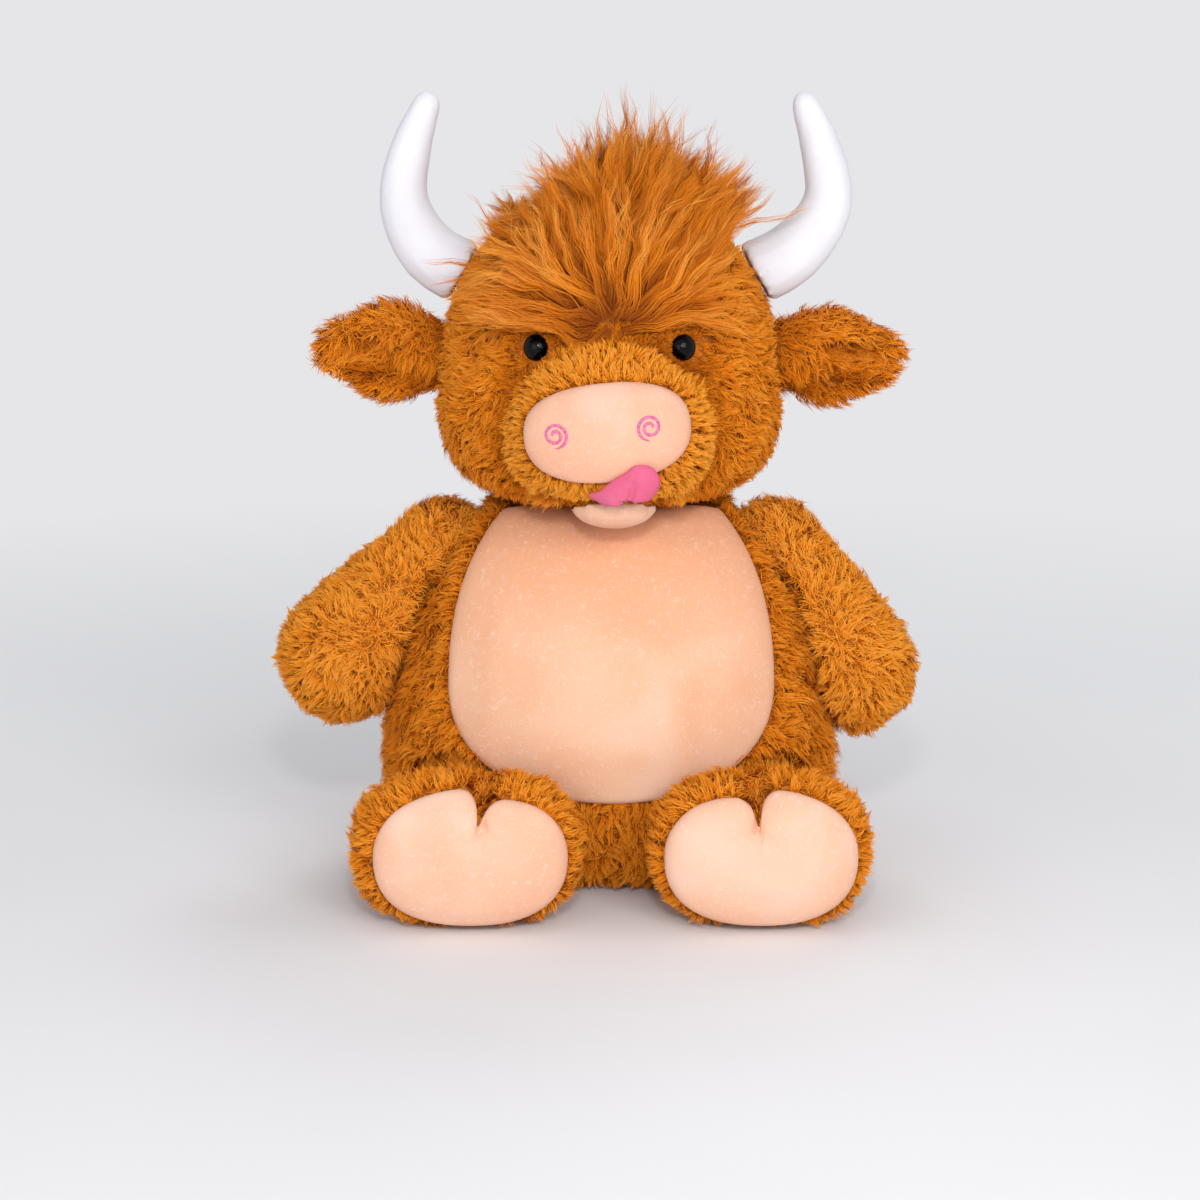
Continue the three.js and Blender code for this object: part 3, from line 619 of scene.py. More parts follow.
def cushion(
    name: str,
    nodes: Sequence[str],
    inset: float = 0.0,
    voxel: float = 4 * MM,
    cap: float = 2.5 * MM,
    smooth: int = 4,
) -> bpy.types.Object:
    """Makes a stuffed cushion in the shape of frame solids.

    Args:
        name: The cushion's name.
        nodes: The solids whose shape it has.
        inset: How far its surface lies inside theirs.
        voxel: The remesh size.
        cap: How far stuffing may push a point.
        smooth: Rounds of smoothing.

    Returns:
        The cushion.
    """
    piece = frame_copy(name, nodes)
    add_modifier(piece, "REMESH", mode="VOXEL", voxel_size=voxel, use_smooth_shade=True)
    add_modifier(piece, "SMOOTH", factor=0.5, iterations=smooth)
    if inset:
        add_modifier(piece, "DISPLACE", strength=-(inset + 0.6 * cap), mid_level=0.0)
        puff(piece, cap)
        add_modifier(piece, "SMOOTH", factor=0.5, iterations=2)
    places = places_of(piece)
    places[:, 2] = np.maximum(places[:, 2], FLOOR_CLEAR)
    set_places(piece, places)
    bpy.ops.object.shade_smooth()
    return piece


def tree_of(piece: bpy.types.Object) -> BVHTree:
    """A search tree of a mesh's faces.

    Args:
        piece: The object.

    Returns:
        The tree.
    """
    mesh = piece.data
    corners = [vertex.co for vertex in mesh.vertices]
    return BVHTree.FromPolygons(corners, [tuple(face.vertices) for face in mesh.polygons])


def depth_inside(tree: BVHTree, places: Array) -> Array:
    """How deep each place lies inside a closed mesh.

    Args:
        tree: The mesh's search tree.
        places: Places to test.

    Returns:
        Depths in metres, negative outside.
    """
    depths = np.empty(len(places))
    for index, place in enumerate(places):
        point = Vector(place)
        near, normal, _, distance = tree.find_nearest(point)
        side = (point - near).dot(normal)
        if abs(side) < 0.95 * distance:
            touching = tree.find_nearest_range(point, distance * 1.0001 + 1e-7)
            side = (point - near).dot(sum((found[1] for found in touching), Vector((0, 0, 0))))
        depths[index] = -math.copysign(distance, side)
    return depths


def unit(vectors: Array) -> Array:
    """Scales each row to length 1."""
    return vectors / np.maximum(np.linalg.norm(vectors, axis=-1, keepdims=True), 1e-12)


def share_of(value: Array, span: float) -> Array:
    """How far each value has come along a span that starts at zero, from 0 to 1."""
    return (value / span).clip(0, 1)


def along_surface(vectors: Array, normals: Array) -> Array:
    """The part of each vector that lies along the surface, at length 1."""
    return unit(vectors - normals * np.sum(vectors * normals, axis=-1, keepdims=True))


class Swirl:
    """Smooth waves through space, which turn and vary the pile from place to place."""

    def __init__(self, seed: int, wavelength: float, waves: int = 7) -> None:
        """Draws the waves.

        Args:
            seed: Seed of the random draw.
            wavelength: Typical distance from crest to crest.
            waves: How many are laid over one another.
        """
        draw = np.random.default_rng(seed)
        turns = unit(draw.normal(size=(waves, 3)))
        self.rates = turns * (2 * math.pi / wavelength) * draw.uniform(0.6, 1.7, (waves, 1))
        self.shifts = draw.uniform(0, 2 * math.pi, waves)

    def at(self, places: Array) -> Array:
        """The waves' height at each place, mostly between -1 and 1."""
        return np.sin(places @ self.rates.T + self.shifts).sum(axis=1) / math.sqrt(len(self.shifts))


def scatter(piece: bpy.types.Object, spacing: float, seed: int) -> tuple[Array, Array]:
    """Spreads places evenly over a mesh.

    Args:
        piece: The mesh.
        spacing: Typical distance between two places.
        seed: Seed of the random draw.

    Returns:
        The places and their normals.
    """
    mesh = piece.data
    mesh.calc_loop_triangles()
    corners = np.empty(len(mesh.loop_triangles) * 3, np.int32)
    mesh.loop_triangles.foreach_get("vertices", corners)
    corners = corners.reshape(-1, 3)
    places, normals = places_of(piece)[corners], normals_of(piece)[corners]
    edges = places[:, 1:] - places[:, :1]
    areas = np.linalg.norm(np.cross(edges[:, 0], edges[:, 1]), axis=1) / 2
    draw = np.random.default_rng(seed)
    count = int(areas.sum() / spacing**2)
    steps = (np.arange(count) + draw.uniform(0, 1, count)) / count
    chosen = np.searchsorted(np.cumsum(areas) / areas.sum(), steps).clip(0, len(areas) - 1)
    first, second = draw.uniform(0, 1, (2, count))
    over = first + second > 1
    first[over], second[over] = 1 - first[over], 1 - second[over]
    shares = np.stack([1 - first - second, first, second], axis=1)[:, :, None]
    return (places[chosen] * shares).sum(axis=1), unit((normals[chosen] * shares).sum(axis=1))


TUFTS_NEAR = 10
BLADE_ROUNDNESS = 0.45
BLADE_TINTS = 0.04


def steadiness(places: Array, leans: Array) -> Array:
    """How far the tufts round each place lean the same way.

    Args:
        places: Places of the tufts.
        leans: The way each tuft leans.

    Returns:
        Shares from 0, at a whorl or parting, to 1.
    """
    tree = KDTree(len(places))
    for index, place in enumerate(places):
        tree.insert(place, index)
    tree.balance()
    near = np.array([[found[1] for found in tree.find_n(place, TUFTS_NEAR)] for place in places])
    return ((np.linalg.norm(leans[near].mean(axis=1), axis=1) - 0.35) / 0.5).clip(0, 1)


def blade_mesh(
    name: str,
    lines: Array,
    widths: Array,
    outward: Array,
    tints: Array,
    roll: Array,
    light: Array,
) -> bpy.types.Object:
    """Makes one object of many tapering blades.

    Args:
        name: The object's name.
        lines: Places along each blade, from root to tip, one row of points for each blade.
        widths: Half width of each blade at each point. The last one is a point.
        outward: The direction each blade's face looks, one for each blade.
        tints: Each blade's place across its finish, from 0 to 1.
        roll: How far each blade is turned about its own line.
        light: How far up its finish each blade's tip is, from 0 to 1. Less is darker, as painted shade.

    Returns:
        The object.
    """
    blades, rows = lines.shape[:2]
    heading = unit(np.gradient(lines, axis=1))
    face = np.repeat(outward[:, None, :], rows, axis=1)
    across = unit(np.cross(heading, face))
    facing = unit(np.cross(across, heading))
    turn = roll[:, None, None]
    cosine, sine = np.cos(turn), np.sin(turn)
    across, facing = across * cosine + facing * sine, facing * cosine - across * sine
    per_blade = 2 * rows - 1
    soft = 0.7 * face + 0.5 * facing
    # Painted shade: a blade with less light reaches less far up its root-to-tip colours.
    reached = light[:, None] * np.linspace(0, 1, rows)
    places, normals = np.empty((2, blades, per_blade, 3))
    spots = np.empty((blades, per_blade, 2))
    for first, hand in ((0, -1), (1, 1)):
        places[:, first:-1:2] = (lines + hand * across * widths[:, :, None])[:, :-1]
        normals[:, first:-1:2] = (soft + hand * BLADE_ROUNDNESS * across)[:, :-1]
        spots[:, first:-1:2, 0] = tints[:, None] * (1 - BLADE_TINTS) + first * BLADE_TINTS
        spots[:, first:-1:2, 1] = reached[:, :-1]
    places[:, -1], normals[:, -1] = lines[:, -1], soft[:, -1]
    spots[:, -1, 0] = tints * (1 - BLADE_TINTS) + BLADE_TINTS / 2
    spots[:, -1, 1] = reached[:, -1]
    places[:, :, 2] = np.maximum(places[:, :, 2], FLOOR_CLEAR)
    last = 2 * (rows - 2)
    quads = [row + corner for row in range(0, last, 2) for corner in (0, 1, 3, 2)]
    pattern = np.array(quads + [last, last + 1, last + 2])
    corners = (pattern[None, :] + per_blade * np.arange(blades)[:, None]).ravel()
    sizes = np.tile(np.array([4] * (rows - 2) + [3]), blades)
    starts = np.concatenate([[0], np.cumsum(sizes)[:-1]])
    mesh = bpy.data.meshes.new(name)
    mesh.vertices.add(blades * per_blade)
    mesh.vertices.foreach_set("co", places.astype(np.float32).ravel())
    mesh.loops.add(len(corners))
    mesh.loops.foreach_set("vertex_index", corners.astype(np.int32))
    mesh.polygons.add(len(sizes))
    mesh.polygons.foreach_set("loop_start", starts.astype(np.int32))
    mesh.polygons.foreach_set("use_smooth", np.ones(len(sizes), bool))
    layer = mesh.uv_layers.new(name=BLADE_MAP)
    layer.uv.foreach_set("vector", spots.reshape(-1, 2)[corners].astype(np.float32).ravel())
    mesh.update(calc_edges=True)
    mesh.normals_split_custom_set_from_vertices(unit(normals.reshape(-1, 3)))
    return add_object(name, mesh)


@dataclass(frozen=True)
class Hinge:
    """A turning seam of the frame."""

    pivot: Array
    axis: Array
    ends: tuple[float, float]

    @staticmethod
    def named(name: str) -> "Hinge":
        """Finds a seam of the frame by name."""
        joint = next(entry for entry in frame["joints"] if entry["name"] == name)
        axis = unit(np.array(joint["axis"], float))
        return Hinge(np.array(joint["pos_m"]), axis, tuple(joint["range_deg"]))

    def turn(self, places: Array, degrees: float) -> Array:
        """Turns places about the seam.

        Args:
            places: Places in the frame.
            degrees: How far they turn.

        Returns:
            The turned places.
        """
        angle = math.radians(degrees)
        arm = places - self.pivot
        along = (arm @ self.axis)[:, None] * self.axis
        across = (arm - along) * math.cos(angle)
        return self.pivot + along + across + np.cross(self.axis, arm) * math.sin(angle)


@dataclass(frozen=True)
class Neighbour:
    """A frame solid that a pile must stay clear of, at rest and at its seam's limits.

    Own turns says that the pile's own piece is the one that moves. Give is how far soft pile may
    still reach into the solid.
    """

    tree: BVHTree
    hinge: Hinge | None = None
    own_turns: bool = False
    give: float = 0.0

    def room(self, places: Array) -> Array:
        """The distance to the neighbour over the whole motion.

        Args:
            places: Places on the piece that carries the pile.

        Returns:
            Distances in metres, negative inside the neighbour.
        """
        angles = (0.0,) if self.hinge is None else (0.0, *self.hinge.ends)
        least = np.full(len(places), 1.0)
        for angle in sorted(set(angles)):
            degrees = angle if self.own_turns else -angle
            turned = places if self.hinge is None else self.hinge.turn(places, degrees)
            least = np.minimum(least, -depth_inside(self.tree, turned))
        return least + self.give


def frame_tree(*nodes: str) -> BVHTree:
    """A search tree of frame solids.

    Args:
        nodes: The solids' names.

    Returns:
        The tree.
    """
    copy = frame_copy("measure", nodes)
    tree = tree_of(copy)
    bpy.data.objects.remove(copy)
    return tree


@dataclass(frozen=True)
class Ground:
    """Where and how high a pile may grow, one value for each root.

    Light says how bright the pile's tips are: painted shade, so that it can darken down into a seam.
    """

    height: Array
    length: Array | float = 1.0
    light: Array | float = 1.0


Comb = Callable[[Array, Array], Array]
Survey = Callable[[Array, Array], Ground]

LARGEST_PILE = 190_000
LOWEST_PILE = 0.8 * MM
ROOT_DEPTH = 0.6 * MM
UNDERFUR = 0.3
# How far from a neighbour the painted crease shade fades out.
CREASE_SHADE_SPAN = 9 * MM


def free_of(neighbours: Sequence[Neighbour], extra: Survey | None = None) -> Survey:
    """Lets a pile grow clear of its neighbours, darker down into the crease beside them.

    Args:
        neighbours: The solids to stay clear of.
        extra: A further survey, of which the lower height counts.

    Returns:
        The survey.
    """

    def survey(places: Array, normals: Array) -> Ground:
        height = np.full(len(places), 1.0)
        for neighbour in neighbours:
            height = np.minimum(height, neighbour.room(places))
        further = extra(places, normals) if extra else Ground(height)
        # Painted shade: the pile darkens down into the crease beside each neighbour.
        shade = 0.3 + 0.7 * share_of(height, CREASE_SHADE_SPAN)
        light = np.minimum(further.light, shade)
        return Ground(np.minimum(height, further.height), further.length, light)

    return survey


@dataclass(frozen=True)
class Pile:
    """How a fur grows: in tufts of blades that lean together and close at their tips.

    Lift and lay are how far a tuft rises and lies over, as shares of its length. Turn and curl
    say how far tufts turn from the comb and blades bend. Tone is the tufts' mean place across
    their finish, from deep at 0 to pale at 1; a part's pale tone is painted light and a deep one
    painted shade.
    """

    spacing: float = 2.55 * MM
    blades: int = 11
    length: float = 8.8 * MM
    lift: float = 0.60
    lay: float = 0.62
    tuft_radius: float = 1.55 * MM
    close: float = 0.55
    half_width: float = 0.27 * MM
    curl: float = 0.42
    turn: float = 0.75
    swirl_size: float = 26 * MM
    tone: float = 0.5

    def grow(
        self, name: str, skin: bpy.types.Object, comb: Comb, seed: int, survey: Survey
    ) -> list[bpy.types.Object]:
        """Grows the pile on a cushion.

        Args:
            name: Start of the new pieces' names.
            skin: The cushion.
            comb: Gives the way that the pile is brushed at each place, from the places and normals.
            seed: Seed of the random draw.
            survey: Says how high the pile may rise at each place.

        Returns:
            The pieces of pile, each of at most LARGEST_PILE triangles.
        """
        scale = 1.0
        roots, normals = scatter(skin, self.spacing * scale, seed)
        ground = survey(roots, normals)
        kept = ground.height > LOWEST_PILE
        limits = ground.length, ground.light
        # The ground's light, painted shade, goes with each tuft to its blades.
        trim, light = (np.broadcast_to(limit, kept.shape)[kept] for limit in limits)
        roots, normals, ceiling = roots[kept], normals[kept], ground.height[kept]
        draw = np.random.default_rng(seed + 1)
        count = len(roots)
        brushed = along_surface(comb(roots, normals), normals)
        aside = np.cross(normals, brushed)
        angle = self.turn * Swirl(seed + 2, self.swirl_size).at(roots) + draw.normal(0, 0.25, count)
        lean = brushed * np.cos(angle)[:, None] + aside * np.sin(angle)[:, None]
        uneven = 1 + 0.12 * Swirl(seed + 3, 18 * MM).at(roots)
        reach = self.length * trim * draw.uniform(0.78, 1.15, count) * uneven
        lift = np.minimum(self.lift * draw.uniform(0.8, 1.2, count), 0.85 * ceiling / reach)
        lines, widths = self.blade_lines(roots, normals, lean, reach, lift, scale, draw)
        tone = self.tone + 0.18 * Swirl(seed + 4, 14 * MM).at(roots) + draw.normal(0, 0.12, count)
        tints = (tone[:, None] + draw.normal(0, 0.14, (count, self.blades))).clip(0, 1)
        roll = draw.normal(0, 0.45, (count, self.blades))
        most = LARGEST_PILE // (self.blades * 3)
        flat = roots[:, :2] - roots[:, :2].mean(axis=0)
        order = np.argsort(np.arctan2(flat[:, 0], flat[:, 1]))
        parts = []
        for index, block in enumerate(np.array_split(order, max(1, math.ceil(count / most)))):
            label = name if count <= most else f"{name}_{index + 1}"
            outward = np.repeat(normals[block], self.blades, axis=0)
            painted_light = np.repeat(light[block], self.blades)
            shape = lines[block].reshape(-1, 3, 3), widths[block].reshape(-1, 3), outward
            parts.append(blade_mesh(label, *shape, tints[block].ravel(), roll[block].ravel(), painted_light))
        return parts

    def blade_lines(
        self,
        roots: Array,
        normals: Array,
        lean: Array,
        reach: Array,
        lift: Array,
        scale: float,
        draw: np.random.Generator,
    ) -> tuple[Array, Array]:
        """Shapes the blades of every tuft.

        Args:
            roots: The tufts' places.
            normals: The way out of the cushion at each.
            lean: The way each tuft leans.
            reach: Each tuft's length.
            lift: How far each tuft rises, as a share of its length.
            scale: How many times as wide as in the full count tufts and blades are.
            draw: The random draw.

        Returns:
            Three places along each blade, and the half width at each.
        """
        shape = (len(roots), self.blades)
        aside = np.cross(normals, lean)
        bend = self.curl * draw.normal(0, 1, len(roots))
        radius = self.tuft_radius * scale * np.sqrt(draw.uniform(0, 1, shape))
        around = draw.uniform(0, 2 * math.pi, shape)
        offset_along, offset_aside = radius * np.cos(around), radius * np.sin(around)
        length = reach[:, None] * draw.uniform(0.8, 1.08, shape)
        height = (lift * reach)[:, None] * draw.uniform(0.85, 1.12, shape)
        wave = bend[:, None] + draw.normal(0, 0.10, shape)
        steady = steadiness(roots, lean)[:, None]
        under = np.broadcast_to(np.arange(self.blades) < UNDERFUR * self.blades, shape)
        every_way = draw.uniform(-math.pi, math.pi, shape)
        astray = np.where(under, every_way, draw.normal(0, 2, shape) * (1 - steady))
        open_share = np.where(under, 1.3, 1 - self.close * steady)
        height *= np.where(under, 0.72, 1)
        swept = self.lay * (1 - 0.75 * draw.uniform(0, 1, shape) ** 3) * length
        sweep_along, sweep_aside = swept * np.cos(astray), swept * np.sin(astray)

        def spots(spread: Array | float, sweep: float, sway: float, up: Array) -> Array:
            along = offset_along * spread + sweep * sweep_along
            side = offset_aside * spread + sweep * sweep_aside + sway * wave * length
            ways = (along, lean), (side, aside), (up, normals)
            return sum((far[..., None] * way[:, None] for far, way in ways), roots[:, None])

        start = spots(1, 0, 0, np.full(shape, -ROOT_DEPTH))
        bow = spots(0.8, 0.30, 0.5, 1.05 * height)
        end = spots(open_share, 1.25, 0.25, 0.95 * height)
        shares = np.array([0, 0.5, 1.0])[:, None]
        rest = 1 - shares
        curve = (rest**2, start), (2 * rest * shares, bow), (shares**2, end)
        lines = sum(weight * spot[:, :, None] for weight, spot in curve)
        taper = np.array([1.0, 0.8, 0])
        return lines, self.half_width * scale * draw.uniform(0.7, 1.25, shape)[..., None] * taper


# ---- Shared parts of the toy ----

SEAM_COVER = 2.2 * MM
UNDERSIDE = 8 * MM


@dataclass
class Wardrobe:
    """The finishes as materials, each made once."""

    fur: bpy.types.Material = field(default_factory=FUR.material)
    hair: bpy.types.Material = field(default_factory=LONG_HAIR.material)
    backing: bpy.types.Material = field(default_factory=BACKING.material)
    peach: bpy.types.Material = field(default_factory=PEACH.material)
    nose: bpy.types.Material = field(default_factory=NOSE_PEACH.material)
    belly: bpy.types.Material = field(default_factory=BELLY_PEACH.material)
    white: bpy.types.Material = field(default_factory=WHITE.material)
    pink: bpy.types.Material = field(default_factory=PINK.material)
    thread: bpy.types.Material = field(default_factory=THREAD.material)
    eye_black: bpy.types.Material = field(default_factory=EYE_BLACK.material)
    washer: bpy.types.Material = field(default_factory=WASHER.material)
    cotton: bpy.types.Material = field(default_factory=COTTON.material)

    def line(self) -> None:
        """Gives the frame solids that stay inside the toy their finishes."""
        washers = {f"eye_washer_{side.word}": self.washer for side in Side}
        for node, material in ({"pellet_bag": self.cotton} | washers).items():
            solid = frame["nodes"][node]
            solid.data.materials.clear()
            solid.data.materials.append(material)


def dress(
    piece: bpy.types.Object,
    body: str,
    material: bpy.types.Material,
    stands_for: Sequence[str] = (),
) -> None:
    """Gives a finished piece its finish and its place on a moving body.

    Args:
        piece: The piece.
        body: The body that it moves with.
        material: Its material.
        stands_for: The frame solids that it replaces.
    """
    piece.data.materials.clear()
    piece.data.materials.append(material)
    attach(piece, body)
    if stands_for:
        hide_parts(*stands_for)
    log.info("%s: %d faces on %s", piece.name, len(piece.data.polygons), body)


def dress_furry(
    skin: bpy.types.Object,
    fur: Sequence[bpy.types.Object],
    body: str,
    wardrobe: Wardrobe,
    stands_for: Sequence[str],
) -> None:
    """Dresses a cushion and the pile that it carries.

    Args:
        skin: The cushion.
        fur: Its pieces of pile.
        body: The body that they move with.
        wardrobe: The finishes.
        stands_for: The frame solids that the cushion replaces.
    """
    dress(skin, body, wardrobe.backing, stands_for)
    for part in fur:
        dress(part, body, wardrobe.fur)


def front_at(tree: BVHTree, x: float, z: float) -> tuple[Vector | None, Vector | None]:
    """Finds a mesh's front, as seen from straight ahead.

    Args:
        tree: The mesh's search tree.
        x: Place across.
        z: Height.

    Returns:
        The place on the front and its normal, or nothing twice.
    """
    return tree.ray_cast(Vector((x, -1, z)), Vector((0, 1, 0)))[:2]


def rounded(value: float, roundness: float) -> float:
    """A point's reach along one axis of a rounded oval.

    Args:
        value: Sine or cosine of the point's angle.
        roundness: 2 for an ellipse, more for squarer.

    Returns:
        The reach from -1 to 1.
    """
    return math.copysign(abs(value) ** (2 / roundness), value)


@dataclass(frozen=True)
class Patch:
    """A smooth plush patch, seen from the front, that is let into a furry cushion.

    Proud and crown are how far its rim and its middle stand out, and tuck how far the rim turns
    in, from the share rim of the way out. Shrink and relief shape its outline and its face.
    """

    centre: tuple[float, float]
    half_width: float
    up: float
    down: float
    up_round: float = 2.3
    down_round: float = 2.3
    tilt: float = 0.0
    proud: float = 1.0 * MM
    crown: float = 1.5 * MM
    tuck: float = 5.0 * MM
    rim: float = 0.88
    across: int = 72
    ceiling: float = 1.0
    shrink: Callable[[float], float] = lambda angle: 1.0
    relief: Callable[[Array, Array], Array] = lambda x, z: np.zeros_like(x)

    def edge(self, angle: float) -> tuple[float, float]:
        """The patch's outline.

        Args:
            angle: Direction from the middle, as the grid's own angle.

        Returns:
            The way across and up to the outline, before the tilt.
        """
        rising = math.sin(angle) > 0
        reach, roundness = (self.up, self.up_round) if rising else (self.down, self.down_round)
        across = self.half_width * rounded(math.cos(angle), roundness)
        height = reach * rounded(math.sin(angle), roundness)
        share = self.shrink(math.atan2(height, across))
        return across * share, height * share

    def build(self, name: str, form: BVHTree) -> bpy.types.Object:
        """Lays the patch over a cushion's front.

        Args:
            name: The patch's name.
            form: Search tree of the shape that it lies on.

        Returns:
            The patch.
        """
        deselect()
        bpy.ops.mesh.primitive_grid_add(x_subdivisions=self.across, y_subdivisions=self.across, size=2)
        piece = bpy.context.active_object
        piece.name = name
        piece.data.name = name
        grid = places_of(piece)
        flat_x = grid[:, 0] * np.sqrt(1 - grid[:, 1] ** 2 / 2)
        flat_z = grid[:, 1] * np.sqrt(1 - grid[:, 0] ** 2 / 2)
        share = np.hypot(flat_x, flat_z).clip(0, 1)
        edges = np.array([self.edge(math.atan2(z, x)) for x, z in zip(flat_x, flat_z)])
        cosine, sine = math.cos(math.radians(self.tilt)), math.sin(math.radians(self.tilt))
        across = share * (edges[:, 0] * cosine - edges[:, 1] * sine) + self.centre[0]
        height = share * (edges[:, 0] * sine + edges[:, 1] * cosine) + self.centre[1]
        height = np.minimum(height, self.ceiling)
        places = np.empty((len(grid), 3))
        rim = ((share - self.rim) / (1 - self.rim)).clip(0, 1)
        lift = self.proud + self.crown * (1 - share**2.5) - self.tuck * (1 - np.sqrt(1 - rim**2))
        lift = lift + self.relief(across, height) * (1 - rim)
        for index, (x, z) in enumerate(zip(across, height)):
            hit, normal = front_at(form, x, z)
            if hit is None:
                hit, normal, _, _ = form.find_nearest(Vector((x, places[index - 1, 1], z)))
            places[index] = hit + normal * lift[index]
        set_places(piece, places)
        activate(piece)
        edit_all(bpy.ops.mesh.normals_make_consistent, inside=False)
        if np.mean(normals_of(piece)[:, 1]) > 0:
            piece.data.flip_normals()
        add_modifier(piece, "SOLIDIFY", thickness=1.2 * MM, offset=-1)
        add_modifier(piece, "SUBSURF", levels=1, render_levels=1)
        bpy.ops.object.shade_smooth()
        return piece


def away_from(point: Spot, drop: float = 0.0) -> Comb:
    """Brushes the pile away from a point, and downwards.

    Args:
        point: The point, in metres.
        drop: Share of downward brushing.

    Returns:
        The way of brushing.
    """

    def comb(places: Array, normals: Array) -> Array:
        return unit(places - np.array(point)) + np.array([0, 0, -drop])

    return comb


# ---- Torso ----


def bare_under(places: Array, normals: Array, slope: float, furry: float, seed: int) -> Array:
    """Says where the underside is bare, so that the toy sits on its cushion and not on its pile.

    Args:
        places: Places on the cushion.
        normals: Their normals.
        slope: How far a place must look down to count.
        furry: Share of the underside that keeps its fur.
        seed: Seed of the random draw.

    Returns:
        True for each bare place.
    """
    under = (normals[:, 2] < -slope) & (places[:, 2] < UNDERSIDE)
    return under & (np.random.default_rng(seed).uniform(0, 1, len(places)) >= furry)


def behind_patch(tree: BVHTree, patch: Patch, places: Array) -> Array:
    """Says which places lie behind a patch on the front of a cushion.

    Args:
        tree: Search tree of the patch.
        patch: The patch's sizes.
        places: Places on the cushion.

    Returns:
        True for each place that the patch covers, but for the rim where fur roots over the seam.
    """
    middle = np.array([patch.centre[0], 0, patch.centre[1]])
    outward = (places - middle) * np.array([1, 0, 1])
    moved = places + unit(outward) * SEAM_COVER
    hits = [tree.ray_cast(Vector(place), Vector((0, -1, 0)), 40 * MM)[0] for place in moved]
    return np.array([hit is not None for hit in hits], bool)


@dataclass
class Torso:
    """The body cushion with its belly patch."""

    wardrobe: Wardrobe
    pile_depth: float = 3.8 * MM
    neck_height: float = 182 * MM
    neck_radius: float = 40 * MM
    belly: Patch = Patch(
        centre=(1 * MM, 108 * MM),
        half_width=81.5 * MM,
        up=101 * MM,
        down=58 * MM,
        up_round=2.2,
        down_round=2.15,
        proud=-0.2 * MM,
        crown=2.2 * MM,
        tuck=3.5 * MM,
        rim=0.92,
        ceiling=188.5 * MM,
        across=56,
    )

    def build(self) -> None:
        """Makes the body's pieces."""
        solids = ["body", "belly_panel", "pellet_bag"]
        form = cushion("torso_form", solids)
        panel = self.belly.build("belly_patch", tree_of(form))
        bpy.data.objects.remove(form)
        skin = cushion("torso_cushion", solids, inset=self.pile_depth)
        panel_tree = tree_of(panel)
        neighbours = [
            Neighbour(frame_tree(limb + side.word), Hinge.named(limb + side.word + move), give=give)
            for limb, move, give in (("arm_", "_raise", 3.5 * MM), ("leg_", "_splay", 2 * MM))
            for side in Side
        ]
        neighbours += [
            Neighbour(frame_tree("tail", "tail_tuft"), Hinge.named("tail_swing")),
            Neighbour(frame_tree("head"), give=4 * MM),
            Neighbour(frame_tree("lower_lip"), Hinge.named("neck_turn")),
        ]

        def open_air(places: Array, normals: Array) -> Ground:
            x, y, z = places.T
            covered = (y < 0) & behind_patch(panel_tree, self.belly, places)
            covered |= (z > self.neck_height) & (np.hypot(x, y) < self.neck_radius)
            covered |= bare_under(places, normals, slope=0.75, furry=0.35, seed=Seed.SEAT)
            hips = share_of(np.abs(x) - 80 * MM, 20 * MM) * (z < 150 * MM)
            return Ground(np.where(covered, 0.0, 1.0), 1 + 0.5 * hips)

        comb = away_from((0, -60 * MM, 150 * MM), 0.5)
        # Tone 0.18: the torso's fur painted deep, as painted shade beside and below the arms.
        pile = Pile(spacing=2.8 * MM, tuft_radius=1.65 * MM, half_width=0.29 * MM, tone=0.18)
        fur = pile.grow("torso_fur", skin, comb, Seed.TORSO, free_of(neighbours, open_air))
        dress_furry(skin, fur, "torso", self.wardrobe, ["body"])
        dress(panel, "torso", self.wardrobe.belly, ["belly_panel"])


# ---- Head ----


def over_lip(places: Array) -> Array:
    """Says which places lie within the lip's width."""
    return np.abs(places[:, 0] - 2 * MM) < 25 * MM


